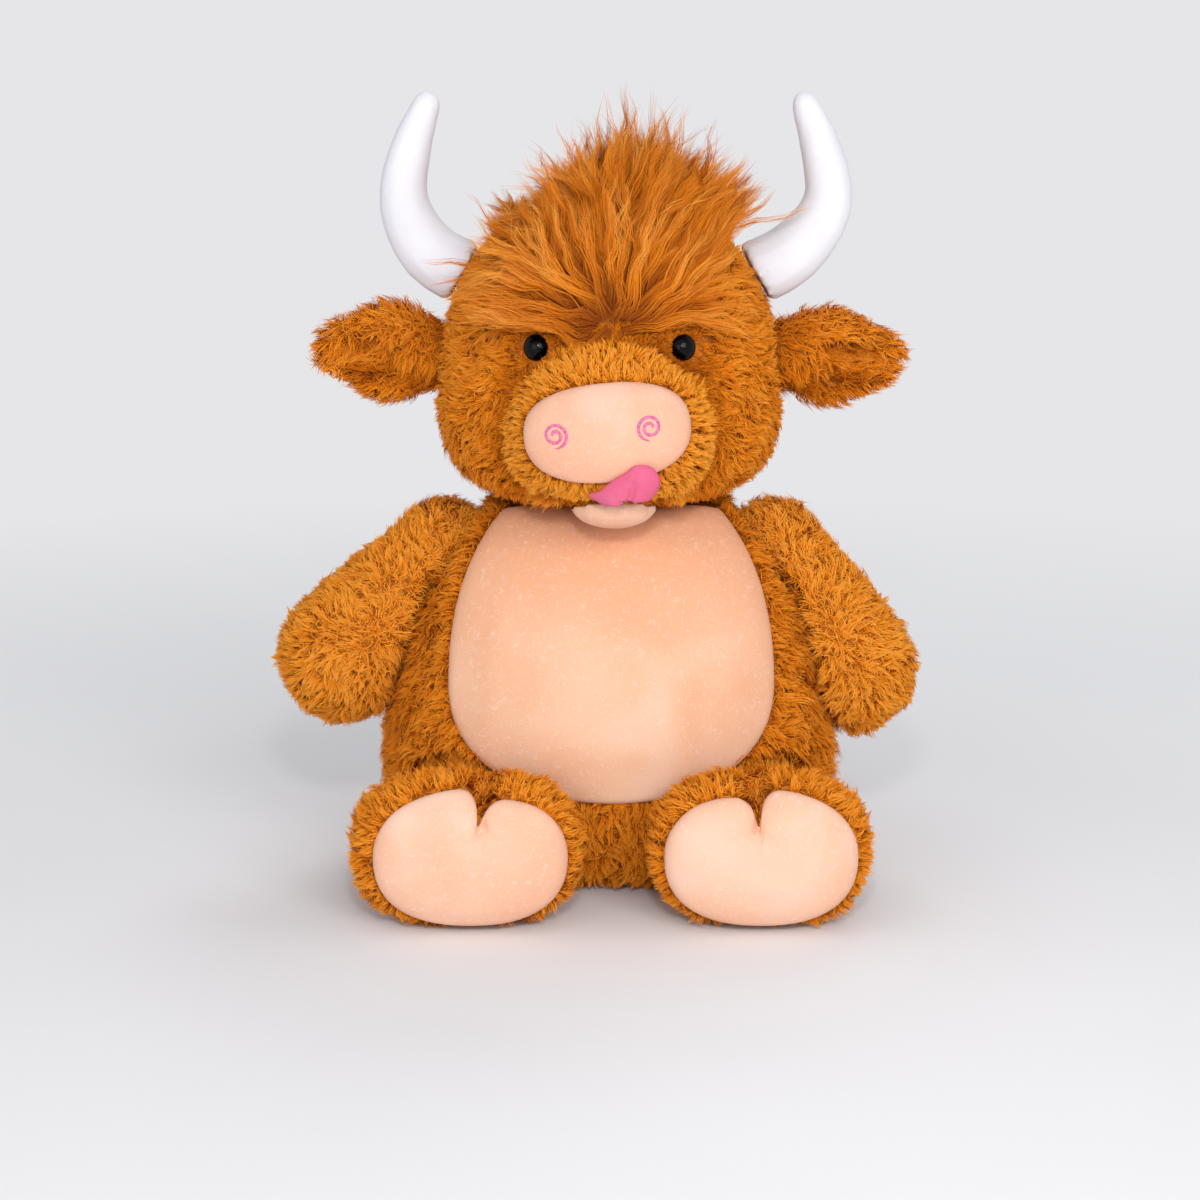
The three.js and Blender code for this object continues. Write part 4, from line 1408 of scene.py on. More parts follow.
@dataclass
class Head:
    """The head cushion, the snout, the eyes, the horns and the long hair."""

    wardrobe: Wardrobe
    pile_depth: float = 3.8 * MM
    whorl: Spot = (1 * MM, -76 * MM, 281 * MM)
    body: str = "head_body"
    solids: tuple[str, ...] = ("head", "eye_washer_left", "eye_washer_right")
    voxel: float = 5 * MM
    eye_turn: float = 30.0
    eye_dome: float = 5 * MM

    def build(self) -> None:
        """Makes all pieces of the head."""
        form = cushion("head_form", self.solids, voxel=self.voxel)
        muzzle_form = cushion("muzzle_form", ["muzzle", "nose_pad"])
        form_tree, muzzle_tree = tree_of(form), tree_of(muzzle_form)
        self.cover(form_tree, muzzle_tree)
        Snout(self.wardrobe).build(muzzle_form, form_tree)
        for side in Side:
            self.eye(side)
            self.horn(side)
        Forelock(self.wardrobe, Vector(self.whorl)).build(form, form_tree)
        for spare in (form, muzzle_form):
            bpy.data.objects.remove(spare)

    def cover(self, form_tree: BVHTree, muzzle_tree: BVHTree) -> None:
        """Makes the head cushion and its fur.

        Args:
            form_tree: Tree of the head's full shape.
            muzzle_tree: Tree of the snout's full shape.
        """
        skin = cushion("head_cushion", self.solids, inset=self.pile_depth, voxel=self.voxel)
        eyes = [self.eye_place(side) for side in Side]
        self.close_round_eyes(skin, form_tree, eyes)
        names = [f"ear_{side.word}" for side in Side]
        ears = [Neighbour(frame_tree(name), Hinge.named(f"{name}_fold")) for name in names]
        torso = Neighbour(frame_tree("body", "belly_panel"), give=3 * MM)
        arms = [Neighbour(frame_tree(f"arm_{side.word}"), give=2 * MM) for side in Side]
        horn_trees = [frame_tree(f"horn_{side.word}") for side in Side]

        def open_air(places: Array, normals: Array) -> Ground:
            x, y, z = places.T
            in_muzzle = depth_inside(muzzle_tree, places)
            height = np.where(in_muzzle > -0.5 * MM, 0.0, 1.0)
            for tree in horn_trees:
                height[depth_inside(tree, places) > -1 * MM] = 0
            height[(z < 192 * MM) & (normals[:, 2] < -0.8)] = 0
            length = np.where((z < 200 * MM) & (y < -20 * MM), 2.0, 1.0)
            front = y < 0
            snout = share_of(-in_muzzle - 1 * MM, 17 * MM)
            # Painted shade: the head's fur darkens down into the crease round the snout.
            light = 0.12 + 0.88 * snout
            length = np.where(snout < 0.6, np.minimum(length, 0.55 + 0.45 * snout / 0.6), length)
            for eye_x, _, eye_z in eyes:
                apart = np.hypot(x - eye_x, z - eye_z)
                height[front & (apart < 5.4 * MM)] = 0
                ring = share_of(apart - 5.5 * MM, 9 * MM)
                length = np.where(front, np.minimum(length, 0.42 + 0.58 * ring), length)
                # Painted shade: the fur darkens in a ring round each eye.
                light = np.where(front, np.minimum(light, 0.25 + 0.75 * ring), light)
            parting = np.hypot(x - self.whorl[0], (z - self.whorl[2] - 8 * MM) * 0.7)
            height[front & (parting < 7 * MM)] = 0
            parting = np.where(front, share_of(parting, 28 * MM), 1)
            length = np.minimum(length, 0.4 + 0.6 * parting)
            # Painted shade: the fur darkens towards the parting under the whorl.
            return Ground(height, length, np.minimum(light, 0.35 + 0.65 * parting))

        clear_of_limbs = free_of([torso, *arms, *ears], open_air)

        def survey(places: Array, normals: Array) -> Ground:
            ground = clear_of_limbs(places, normals)
            x, y, z = places.T
            chin = (z < 203 * MM) & (y < -40 * MM) & (np.abs(x) < 60 * MM)
            lip = over_lip(places) & (y < -54 * MM)
            height = np.where(chin, np.where(lip, 6 * MM, 14 * MM), ground.height)
            # Under the chin the painted crease shade is kept no darker than 0.6.
            light = np.where(chin, np.maximum(ground.light, 0.6), ground.light)
            return Ground(height, ground.length, light)

        comb = away_from((0, -84 * MM, 262 * MM), 0.3)
        # Tone 0.24: the head's fur painted deep, as painted shade on its sides.
        fur = Pile(spacing=2.6 * MM, tone=0.24).grow("head_fur", skin, comb, Seed.HEAD, survey)
        dress_furry(skin, fur, self.body, self.wardrobe, ["head"])

    def close_round_eyes(
        self, skin: bpy.types.Object, form_tree: BVHTree, eyes: Sequence[Spot]
    ) -> None:
        """Brings the drawn-in cushion back out round the eyes, to hide the washers behind them.

        Args:
            skin: The head cushion.
            form_tree: Tree of the head's full shape.
            eyes: Places of the eyes.
        """
        places = places_of(skin)
        for x, _, z in eyes:
            apart = np.hypot(places[:, 0] - x, places[:, 2] - z)
            shares = share_of(16 * MM - apart, 6 * MM) * (places[:, 1] < 0)
            for index in np.nonzero(shares)[0]:
                near, normal, _, _ = form_tree.find_nearest(Vector(places[index]))
                full = np.array(near) - 0.4 * MM * np.array(normal)
                places[index] += shares[index] * (full - places[index])
        set_places(skin, places)

    def eye_place(self, side: Side) -> Spot:
        """The front of an eye's dome, in metres."""
        low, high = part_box(f"eye_{side.word}")
        return (low[0] + high[0]) / 2, low[1], (low[2] + high[2]) / 2

    def eye(self, side: Side) -> None:
        """Makes one safety eye.

        Args:
            side: Which eye.
        """
        low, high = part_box(f"eye_{side.word}")
        x, front, z = self.eye_place(side)
        radius = (high[2] - low[2]) / 2
        deselect()
        bpy.ops.mesh.primitive_uv_sphere_add(segments=48, ring_count=24, radius=1)
        piece = bpy.context.active_object
        piece.name = f"eye_bead_{side.word}"
        ball = places_of(piece)
        aside, deep, tall = ball[:, 0] * radius, -ball[:, 2] * self.eye_dome, ball[:, 1] * radius * 1.04
        outward = side.value * math.radians(self.eye_turn)
        cosine, sine = math.cos(outward), math.sin(outward)
        turned = np.stack([aside * cosine - deep * sine, aside * sine + deep * cosine, tall], axis=1)
        set_places(piece, turned + np.array([x, front + self.eye_dome, z]))
        bpy.ops.object.shade_smooth()
        dress(piece, self.body, self.wardrobe.eye_black, [f"eye_{side.word}"])

    def horn(self, side: Side) -> None:
        """Makes one stuffed horn.

        Args:
            side: Which horn.
        """
        piece = cushion(f"horn_cushion_{side.word}", [f"horn_{side.word}"], voxel=2.5 * MM, smooth=3)
        puff(piece, 0.8 * MM)
        add_modifier(piece, "SUBSURF", levels=1, render_levels=1)
        dress(piece, self.body, self.wardrobe.white, [f"horn_{side.word}"])


@dataclass
class Snout:
    """The muzzle cushion with its nose patch, nostrils, lip and tongue."""

    wardrobe: Wardrobe
    body: str = "head_body"
    pile_depth: float = 3.2 * MM
    nose: Patch = Patch(
        centre=(-1.2 * MM, 235.5 * MM),
        half_width=40.5 * MM,
        up=23.6 * MM,
        down=23.6 * MM,
        tilt=5.5,
        proud=0.8 * MM,
        crown=2.5 * MM,
        tuck=3.5 * MM,
        rim=0.88,
        across=48,
    )
    nostrils: tuple[tuple[float, float], ...] = ((-25 * MM, 235 * MM), (18.3 * MM, 239 * MM))
    groove: tuple[tuple[float, float], ...] = ((7.7 * MM, 203 * MM), (11.5 * MM, 213.5 * MM))
    pile: Pile = Pile(
        length=6.8 * MM,
        lift=0.76,
        lay=0.48,
        turn=0.4,
        spacing=2.2 * MM,
        tuft_radius=1.35 * MM,
        half_width=0.24 * MM,
        # Tone 1.0: the snout's fur painted pale, as painted light on the snout standing out forward.
        tone=1.0,
    )
    thread: tuple[float, float] = (0.72 * MM, 0.55 * MM)
    spiral_degrees: float = 640.0
    mouth_top: float = 206 * MM
    pile_over_lip: float = 2.6 * MM

    def build(self, form: bpy.types.Object, head_tree: BVHTree) -> None:
        """Makes the snout's pieces.

        Args:
            form: The snout's full shape.
            head_tree: Tree of the head's full shape.
        """
        form_tree = tree_of(form)
        nose = self.nose.build("nose_patch", form_tree)
        nose_tree = tree_of(nose)
        skin = cushion("muzzle_cushion", ["muzzle", "nose_pad"], inset=self.pile_depth)
        mouth = [frame_tree("lower_lip"), frame_tree("tongue")]

        def open_air(places: Array, normals: Array) -> Ground:
            covered = behind_patch(nose_tree, self.nose, places) & (normals[:, 1] < 0.2)
            clear_of_head = -depth_inside(head_tree, places)
            covered |= clear_of_head < -1 * MM
            height = np.where(covered, 0.0, 1.0)
            for tree in mouth:
                height = np.minimum(height, -depth_inside(tree, places) - 0.5 * MM)
            low = places[:, 2] < self.mouth_top
            lip = low & over_lip(places)
            height = np.where(lip, np.minimum(height, self.pile_over_lip), height)
            length = np.where(lip, 0.4, np.where(low, 2.0, 1.0))
            # Painted shade: the snout's fur darkens down into its seam with the head.
            return Ground(height, length, 0.15 + 0.85 * share_of(clear_of_head, 10 * MM))

        comb = away_from((0, -118 * MM, 236 * MM), 0.15)
        fur = self.pile.grow("muzzle_fur", skin, comb, Seed.SNOUT, open_air)
        dress_furry(skin, fur, self.body, self.wardrobe, ["muzzle"])
        dress(nose, self.body, self.wardrobe.nose, ["nose_pad"])
        for side in Side:
            self.nostril(side, nose_tree)
        fine = {"voxel": 1.6 * MM, "cap": 0.6 * MM, "smooth": 6}
        lip = cushion("lip_cushion", ["lower_lip"], inset=0.3 * MM, **fine)
        add_modifier(lip, "SUBSURF", levels=1, render_levels=1)
        self.hollow(lip)
        dress(lip, self.body, self.wardrobe.peach, ["lower_lip"])
        tongue = cushion("tongue_cushion", ["tongue"], voxel=1.2 * MM, smooth=6)
        add_modifier(tongue, "SUBSURF", levels=1, render_levels=1)
        self.crease(tongue)
        dress(tongue, self.body, self.wardrobe.pink, ["tongue"])

    def hollow(self, lip: bpy.types.Object) -> None:
        """Presses the lip's upper side in like a cup's, and lowers its front."""
        low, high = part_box("lower_lip")
        places = places_of(lip)
        x, y, z = places.T
        across = (x - (low[0] + high[0]) / 2) / ((high[0] - low[0]) / 2 - 3 * MM)
        deep = (y - (low[1] + 17 * MM)) / (13.5 * MM)
        upper = share_of(z - high[2] + 5 * MM, 3 * MM)
        z -= 3 * MM * upper * (1 - across**2 - deep**2).clip(0, 1) ** 0.6
        front = share_of(-72 * MM - y, 12 * MM)
        z += front * ((z - low[2]) * 0.45 - 2.4 * MM) + (1 - front) * 1.5 * MM * upper
        set_places(lip, places)

    def crease(self, tongue: bpy.types.Object) -> None:
        """Presses the tongue's groove in, notches its foot and points its left end."""
        places, normals = places_of(tongue), normals_of(tongue)
        x, y, z = places.T
        foot, head = np.array(self.groove[0]), np.array(self.groove[1])
        way = head - foot
        flat = places[:, [0, 2]] - foot
        along = (flat @ way / (way @ way)).clip(0, 1)
        off = np.linalg.norm(flat - along[:, None] * way, axis=1)
        front = (normals[:, 1] < -0.2) | (normals[:, 2] < -0.3)
        y += front * 2.8 * MM * (1 - 0.6 * along) * np.exp(-((off / (1.5 * MM)) ** 2))
        low = z < foot[1] + 3 * MM
        z += low * 1.5 * MM * np.exp(-(((x - foot[0]) / (3.2 * MM)) ** 2))
        point = share_of(x.min() + 11 * MM - x, 11 * MM)
        z += (z.min() + 5.5 * MM - z) * 0.7 * point**1.2
        z -= 1.6 * MM * share_of(212 * MM - z, 8 * MM)
        set_places(tongue, places)

    def nostril(self, side: Side, nose_tree: BVHTree) -> None:
        """Sews one spiral nostril onto the nose patch.

        Args:
            side: Which nostril.
            nose_tree: Tree of the nose patch.
        """
        middle_x, middle_z = self.nostrils[0 if side is Side.LEFT else 1]
        stations, ring = 190, 9
        along = np.linspace(0, 1, stations)
        angle = math.radians(-90) - side.value * (1 - along) * math.radians(self.spiral_degrees)
        radius = (1.0 + 4.9 * along**0.9) * MM
        x = middle_x + radius * np.cos(angle)
        z = middle_z + radius * np.sin(angle)
        centres, outward = np.empty((stations, 3)), np.empty((stations, 3))
        for index in range(stations):
            centres[index], outward[index] = front_at(nose_tree, x[index], z[index])
        heading = unit(np.gradient(centres, axis=0))
        across = unit(np.cross(heading, outward))
        ends = np.minimum(1, np.minimum(along, 1 - along) * 14) ** 0.5
        stitch = 0.80 + 0.20 * np.cos(np.arange(stations) * math.pi * 0.7)
        around = np.linspace(0, 2 * math.pi, ring, endpoint=False)
        wide, thick = self.thread
        wide, thick = np.cos(around) * wide, np.sin(around) * thick
        places = (
            centres[:, None]
            + across[:, None] * wide[None, :, None] * ends[:, None, None]
            + outward[:, None] * thick[None, :, None] * (ends * stitch)[:, None, None]
            + outward[:, None] * 0.15 * MM
        )
        faces = [
            (row + k, row + (k + 1) % ring, row + ring + (k + 1) % ring, row + ring + k)
            for row in range(0, (stations - 1) * ring, ring)
            for k in range(ring)
        ]
        faces += [tuple(range(ring))[::-1], tuple(range((stations - 1) * ring, stations * ring))]
        mesh = bpy.data.meshes.new("nostril")
        mesh.from_pydata(places.reshape(-1, 3).tolist(), [], faces)
        piece = add_object(f"nostril_thread_{side.word}", mesh)
        activate(piece)
        edit_all(bpy.ops.mesh.normals_make_consistent, inside=False)
        bpy.ops.object.shade_smooth()
        dress(piece, self.body, self.wardrobe.thread)


@dataclass
class Forelock:
    """Long hair that fountains from a whorl over the brow and stands up over the crown.

    Each span is how far the hair's outline lies from the whorl, in millimetres, at angles from
    level to straight up.
    """

    wardrobe: Wardrobe
    whorl: Vector
    rows: int = 8
    strands: int = 19
    wave: float = 0.5
    wavelength: float = 24 * MM
    longest: float = 62 * MM
    span_left: ClassVar[dict[float, float]] = {0: 78, 30: 90, 45: 78, 60: 70, 75: 82, 90: 95}
    span_right: ClassVar[dict[float, float]] = {0: 86, 20: 94, 35: 108, 50: 94, 70: 94, 90: 95}
    root_spacing: float = 3.3 * MM
    quick_root_spacing: float = 5.2 * MM
    lock_radius: float = 2.7 * MM
    strand_half_width: float = 0.19 * MM
    fringe_top: float = 34 * MM
    eye_aside: float = 35 * MM
    eye_half_width: float = 16 * MM
    lowest_over_eye: float = 280 * MM
    body: str = "head_body"

    def build(self, scalp: bpy.types.Object, scalp_tree: BVHTree) -> None:
        """Grows the hair.

        Args:
            scalp: The head's full shape.
            scalp_tree: Its tree.
        """
        spacing = self.root_spacing
        roots, normals = scatter(scalp, spacing, Seed.HAIR_ROOTS)
        offset = roots - np.array(self.whorl)
        half_width = (27 + 22 * share_of(offset[:, 2], 34 * MM)) * MM
        kept = (np.abs(offset[:, 0]) < half_width) & (offset[:, 2] > -3 * MM) & (roots[:, 1] < 30 * MM)
        roots, normals, offset = roots[kept], normals[kept], offset[kept]
        draw = np.random.default_rng(Seed.HAIR)
        lines = self.comb_out(scalp_tree, roots, normals, offset, draw)
        rise = offset[:, 2]
        reach = np.hypot(offset[:, 0], rise)
        # Painted shade: locks rooted near the whorl are darker, as at the foot of the crown's tuft;
        # each lock also takes a random tone of its own, and those rooted less than 20 mm above the
        # whorl stay at least 0.8 bright.
        light = 0.55 + 0.45 * share_of(reach - 20 * MM, 34 * MM)
        light *= draw.uniform(0.5, 1.0, len(roots))
        light = np.where(rise < 20 * MM, np.maximum(light, 0.8), light)
        fringe = rise < self.fringe_top
        for part, chosen, solids in (("fringe", fringe, ()), ("crown", ~fringe, ("forelock",))):
            locks = lines[chosen], normals[chosen], light[chosen]
            strands = self.strands, self.lock_radius, self.strand_half_width, Seed.HAIR_STRANDS
            hair = hair_mesh(f"forelock_hair_{part}", *locks, *strands)
            dress(hair, self.body, self.wardrobe.hair, solids)

    def comb_out(
        self,
        scalp_tree: BVHTree,
        roots: Array,
        normals: Array,
        offset: Array,
        draw: np.random.Generator,
    ) -> Array:
        """Chooses each lock's way and length, and lays it over the scalp.

        Args:
            scalp_tree: The scalp's tree.
            roots: The locks' places.
            normals: The way out of the scalp at each.
            offset: Each root as seen from the whorl.
            draw: The random draw.

        Returns:
            Places along each lock.
        """
        count = len(roots)
        aside, rise = offset[:, 0], offset[:, 2]
        reach = np.hypot(aside, rise)
        angle = np.degrees(np.arctan2(rise, np.abs(aside)))
        spans = [np.interp(angle, [*by], [*by.values()]) for by in (self.span_left, self.span_right)]
        span = np.where(aside < 0, *spans) * MM
        flat = share_of(-aside - 10 * MM, 20 * MM) * share_of(angle - 15, 20)
        upright = share_of(angle - 25, 35) * share_of(reach - 26 * MM, 26 * MM)
        upright *= 1 - share_of(-aside - 14 * MM, 24 * MM)
        flow = along_surface(offset + draw.normal(0, 2.5 * MM, (count, 3)), normals)
        lift = np.radians(14 + 26 * upright - 10 * flat + draw.normal(0, 8, count))
        fan = np.tile([0, -8 * MM, 46 * MM], (count, 1))
        fan[:, 0] = (aside + 2 * MM) * 0.85
        fan = unit(fan + draw.normal(0, 14 * MM, (count, 3)))
        heading = unit(flow * np.cos(lift)[:, None] + normals * np.sin(lift)[:, None])
        heading = unit(heading * (1 - 0.8 * upright)[:, None] + fan * (0.8 * upright)[:, None])
        wisps = draw.uniform(0, 1, count) ** 7
        length = ((span - reach) * (0.95 + 0.8 * wisps)).clip((20 - 9 * flat) * MM, self.longest)
        length += 5 * MM * draw.uniform(-1, 1, count)
        swirl = [Swirl(Seed.HAIR_BEND + axis, 34 * MM) for axis in range(3)]
        phase = 2.2 * Swirl(Seed.HAIR_WAVE, 24 * MM).at(roots) + draw.normal(0, 0.8, count)
        lines = np.empty((count, self.rows, 3))
        lines[:, 0] = roots - normals * 1.5 * MM
        place = roots.copy()
        step = length / (self.rows - 1)
        droop = 0.16 * (1 - upright)
        brow = (-rise / (30 * MM) + 1).clip(0, 1)
        standing = (2.0 + 6.5 * draw.uniform(0, 1, count) * (1 - 0.5 * brow)) * MM
        standing *= 1 - 0.7 * flat
        for row in range(1, self.rows):
            bend = np.stack([wave.at(place) for wave in swirl], axis=1)
            bend += draw.normal(0, 0.3, (count, 3))
            weight = droop[:, None] * np.array([0, 0, -1]) * (row / self.rows)
            heading = unit(heading + 0.17 * bend + weight)
            turned = self.wave * np.cos(2 * math.pi * row * step / self.wavelength + phase)
            across = unit(np.cross(heading, normals))
            place = place + unit(heading + turned[:, None] * across) * step[:, None]
            clear = standing * math.sin(math.pi * min(0.8, row / self.rows + 0.15))
            depth = depth_inside(scalp_tree, place)
            for index in np.nonzero(depth > -clear)[0]:
                near, normal, _, _ = scalp_tree.find_nearest(Vector(place[index]))
                place[index] = np.array(near) + np.array(normal) * clear[index]
            x, y, z = place.T
            over_eye = (np.abs(np.abs(x) - self.eye_aside) < self.eye_half_width) & (y < -40 * MM)
            place[:, 2] = np.where(over_eye, np.maximum(z, self.lowest_over_eye), z)
            heading = unit(0.6 * heading + 0.4 * unit(place - lines[:, row - 1]))
            lines[:, row] = place
        return lines


def hair_mesh(
    name: str,
    guides: Array,
    outward: Array,
    light: Array,
    strands: int,
    spread: float,
    half_width: float,
    seed: int,
) -> bpy.types.Object:
    """Makes locks of long hair around guide lines.

    Args:
        name: The piece's name.
        guides: Places along each lock, from root to tip.
        outward: The way each lock faces.
        light: How far up its finish each lock's tips are, from 0 to 1. Less is darker, as painted
            shade.
        strands: Strands in a lock.
        spread: Radius of a lock at its root.
        half_width: Half width of a strand.
        seed: Seed of the random draw.

    Returns:
        The piece.
    """
    draw = np.random.default_rng(seed)
    count, rows = guides.shape[:2]
    along = np.linspace(0, 1, rows)
    heading = unit(np.gradient(guides, axis=1))
    across = unit(np.cross(heading, outward[:, None, :]))
    facing = unit(np.cross(across, heading))
    shape = (count, strands)
    turn = draw.uniform(0, 2 * math.pi, shape)
    radius = spread * np.sqrt(draw.uniform(0, 1, shape))
    stray = draw.uniform(0, 1, shape) < 0.3
    loose = np.where(stray, draw.uniform(0.6, 2.2, shape), draw.uniform(0, 0.3, shape))
    width = (1 - 0.88 * along**1.1)[None, None, :] + loose[..., None] * along**2
    wave = 0.25 * np.sin(along * 7 + draw.uniform(0, 6.3, shape)[..., None]) * along
    side = radius[..., None] * (np.cos(turn)[..., None] * width + wave)
    up = radius[..., None] * (np.sin(turn)[..., None] * width + wave) * 0.8
    lines = guides[:, None] + across[:, None] * side[..., None] + facing[:, None] * up[..., None]
    cut = 0.5 + 0.5 * draw.uniform(0, 1, shape) ** 1.2
    travelled = np.clip(along * cut[..., None] * (rows - 1), 0, rows - 1.001)
    low = travelled.astype(int)
    share = (travelled - low)[..., None]
    lock, strand = (index[..., None] for index in np.ogrid[:count, :strands])
    lines = lines[lock, strand, low] * (1 - share) + lines[lock, strand, low + 1] * share
    taper = np.minimum(1, 1.25 - along) * np.where(along > 0.99, 0, 1)
    widths = half_width * draw.uniform(0.6, 1.3, shape)[..., None] * taper
    tints = (0.5 + draw.normal(0, 0.22, count)[:, None] + draw.normal(0, 0.20, shape)).clip(0, 1)
    return blade_mesh(
        name,
        lines.reshape(-1, rows, 3),
        widths.reshape(-1, rows),
        np.repeat(outward, strands, axis=0),
        tints.ravel(),
        draw.normal(0, 0.5, shape).ravel(),
        np.repeat(light, strands),
    )


# ---- Limbs ----


@dataclass
class Ear:
    """A folded ear. Its fold is the outer and inner end of the upper leaf's edge, across and up."""

    wardrobe: Wardrobe
    side: Side
    pile_depth: float = 2.6 * MM
    fold: ClassVar[dict[Side, tuple[tuple[float, float], ...]]] = {
        Side.LEFT: ((-124 * MM, 262 * MM), (-84 * MM, 252.5 * MM)),
        Side.RIGHT: ((123 * MM, 253.5 * MM), (84 * MM, 247 * MM)),
    }
    # Tone 0.26: the ear's fur painted deep, as painted shade.
    pile: Pile = Pile(length=8.5 * MM, lift=0.55, lay=0.7, turn=0.45, tone=0.26)

    def build(self) -> None:
        """Makes the ear and its fur."""
        word, body = self.side.word, f"ear_{self.side.word}_body"
        solids = [f"ear_{word}"]
        fine = {"voxel": 2.6 * MM, "cap": 1 * MM, "smooth": 3}
        skin = cushion(f"ear_cushion_{word}", solids, inset=self.pile_depth, **fine)
        hinge = Hinge.named(f"ear_{word}_fold")
        head = Neighbour(frame_tree("head", "forelock"), hinge, own_turns=True)
        outer, inner = self.fold[self.side]

        def below_fold(places: Array) -> Array:
            share = (places[:, 0] - outer[0]) / (inner[0] - outer[0])
            line = outer[1] + (inner[1] - outer[1]) * share
            return np.where((places[:, 1] < 4 * MM) & (share > -0.1), line - places[:, 2], np.inf)

        def folded(places: Array, normals: Array) -> Ground:
            below = below_fold(places)
            # Painted shade: the lower leaf darkens under the upper flap, darkest just below its edge.
            under = np.where(below > 0, 0.15 + 0.85 * share_of(below, 17 * MM), 1.0)
            root = share_of(104 * MM - np.abs(places[:, 0]), 18 * MM)
            root *= np.abs(normals[:, 2]) > 0.5
            flap = (below <= 0) & (below > -9 * MM)
            return Ground(np.ones(len(places)), 1 + 0.5 * root + 0.25 * flap, under)

        def comb(places: Array, normals: Array) -> Array:
            below = below_fold(places)
            over_edge = share_of(below + 16 * MM, 12 * MM) * (below <= 1 * MM)
            outward = unit(places - np.array([self.side.value * 60 * MM, 0, 266 * MM]))
            return outward + np.array([0, 0, -0.25]) + over_edge[:, None] * np.array([0, -0.4, -2.2])

        seed = Seed.EAR + self.side.value
        fur = self.pile.grow(f"ear_fur_{word}", skin, comb, seed, free_of([head], folded))
        dress_furry(skin, fur, body, self.wardrobe, solids)


@dataclass
class Arm:
    """A paddle arm."""

    wardrobe: Wardrobe
    side: Side
    pile_depth: float = 3.8 * MM

    def build(self) -> None:
        """Makes the arm and its fur."""
        word, sign = self.side.word, self.side.value
        body, hinge = f"arm_{word}_body", Hinge.named(f"arm_{word}_raise")
        skin = cushion(f"arm_cushion_{word}", [f"arm_{word}"], inset=self.pile_depth)
        neighbours = [
            Neighbour(frame_tree("body", "belly_panel"), hinge, own_turns=True, give=2.5 * MM),
            Neighbour(frame_tree(f"leg_{word}", f"sole_{word}")),
            Neighbour(frame_tree("head"), hinge, own_turns=True),
        ]
        whorl = np.array([sign * 111 * MM, -38 * MM, 122 * MM])
        waves = [Swirl(Seed.ARM_COMB + axis, 16 * MM) for axis in range(3)]

        def comb(places: Array, normals: Array) -> Array:
            loose = np.stack([wave.at(places) for wave in waves], axis=1)
            return unit(places - whorl) * 0.85 + loose * 0.42 + np.array([sign * 0.1, 0, -0.2])

        # Tone 0.78: the arm's fur painted pale, as painted light on the arm standing out forward.
        fur = Pile(tone=0.78).grow(f"arm_fur_{word}", skin, comb, Seed.ARM + sign, free_of(neighbours))
        dress_furry(skin, fur, body, self.wardrobe, [f"arm_{word}"])


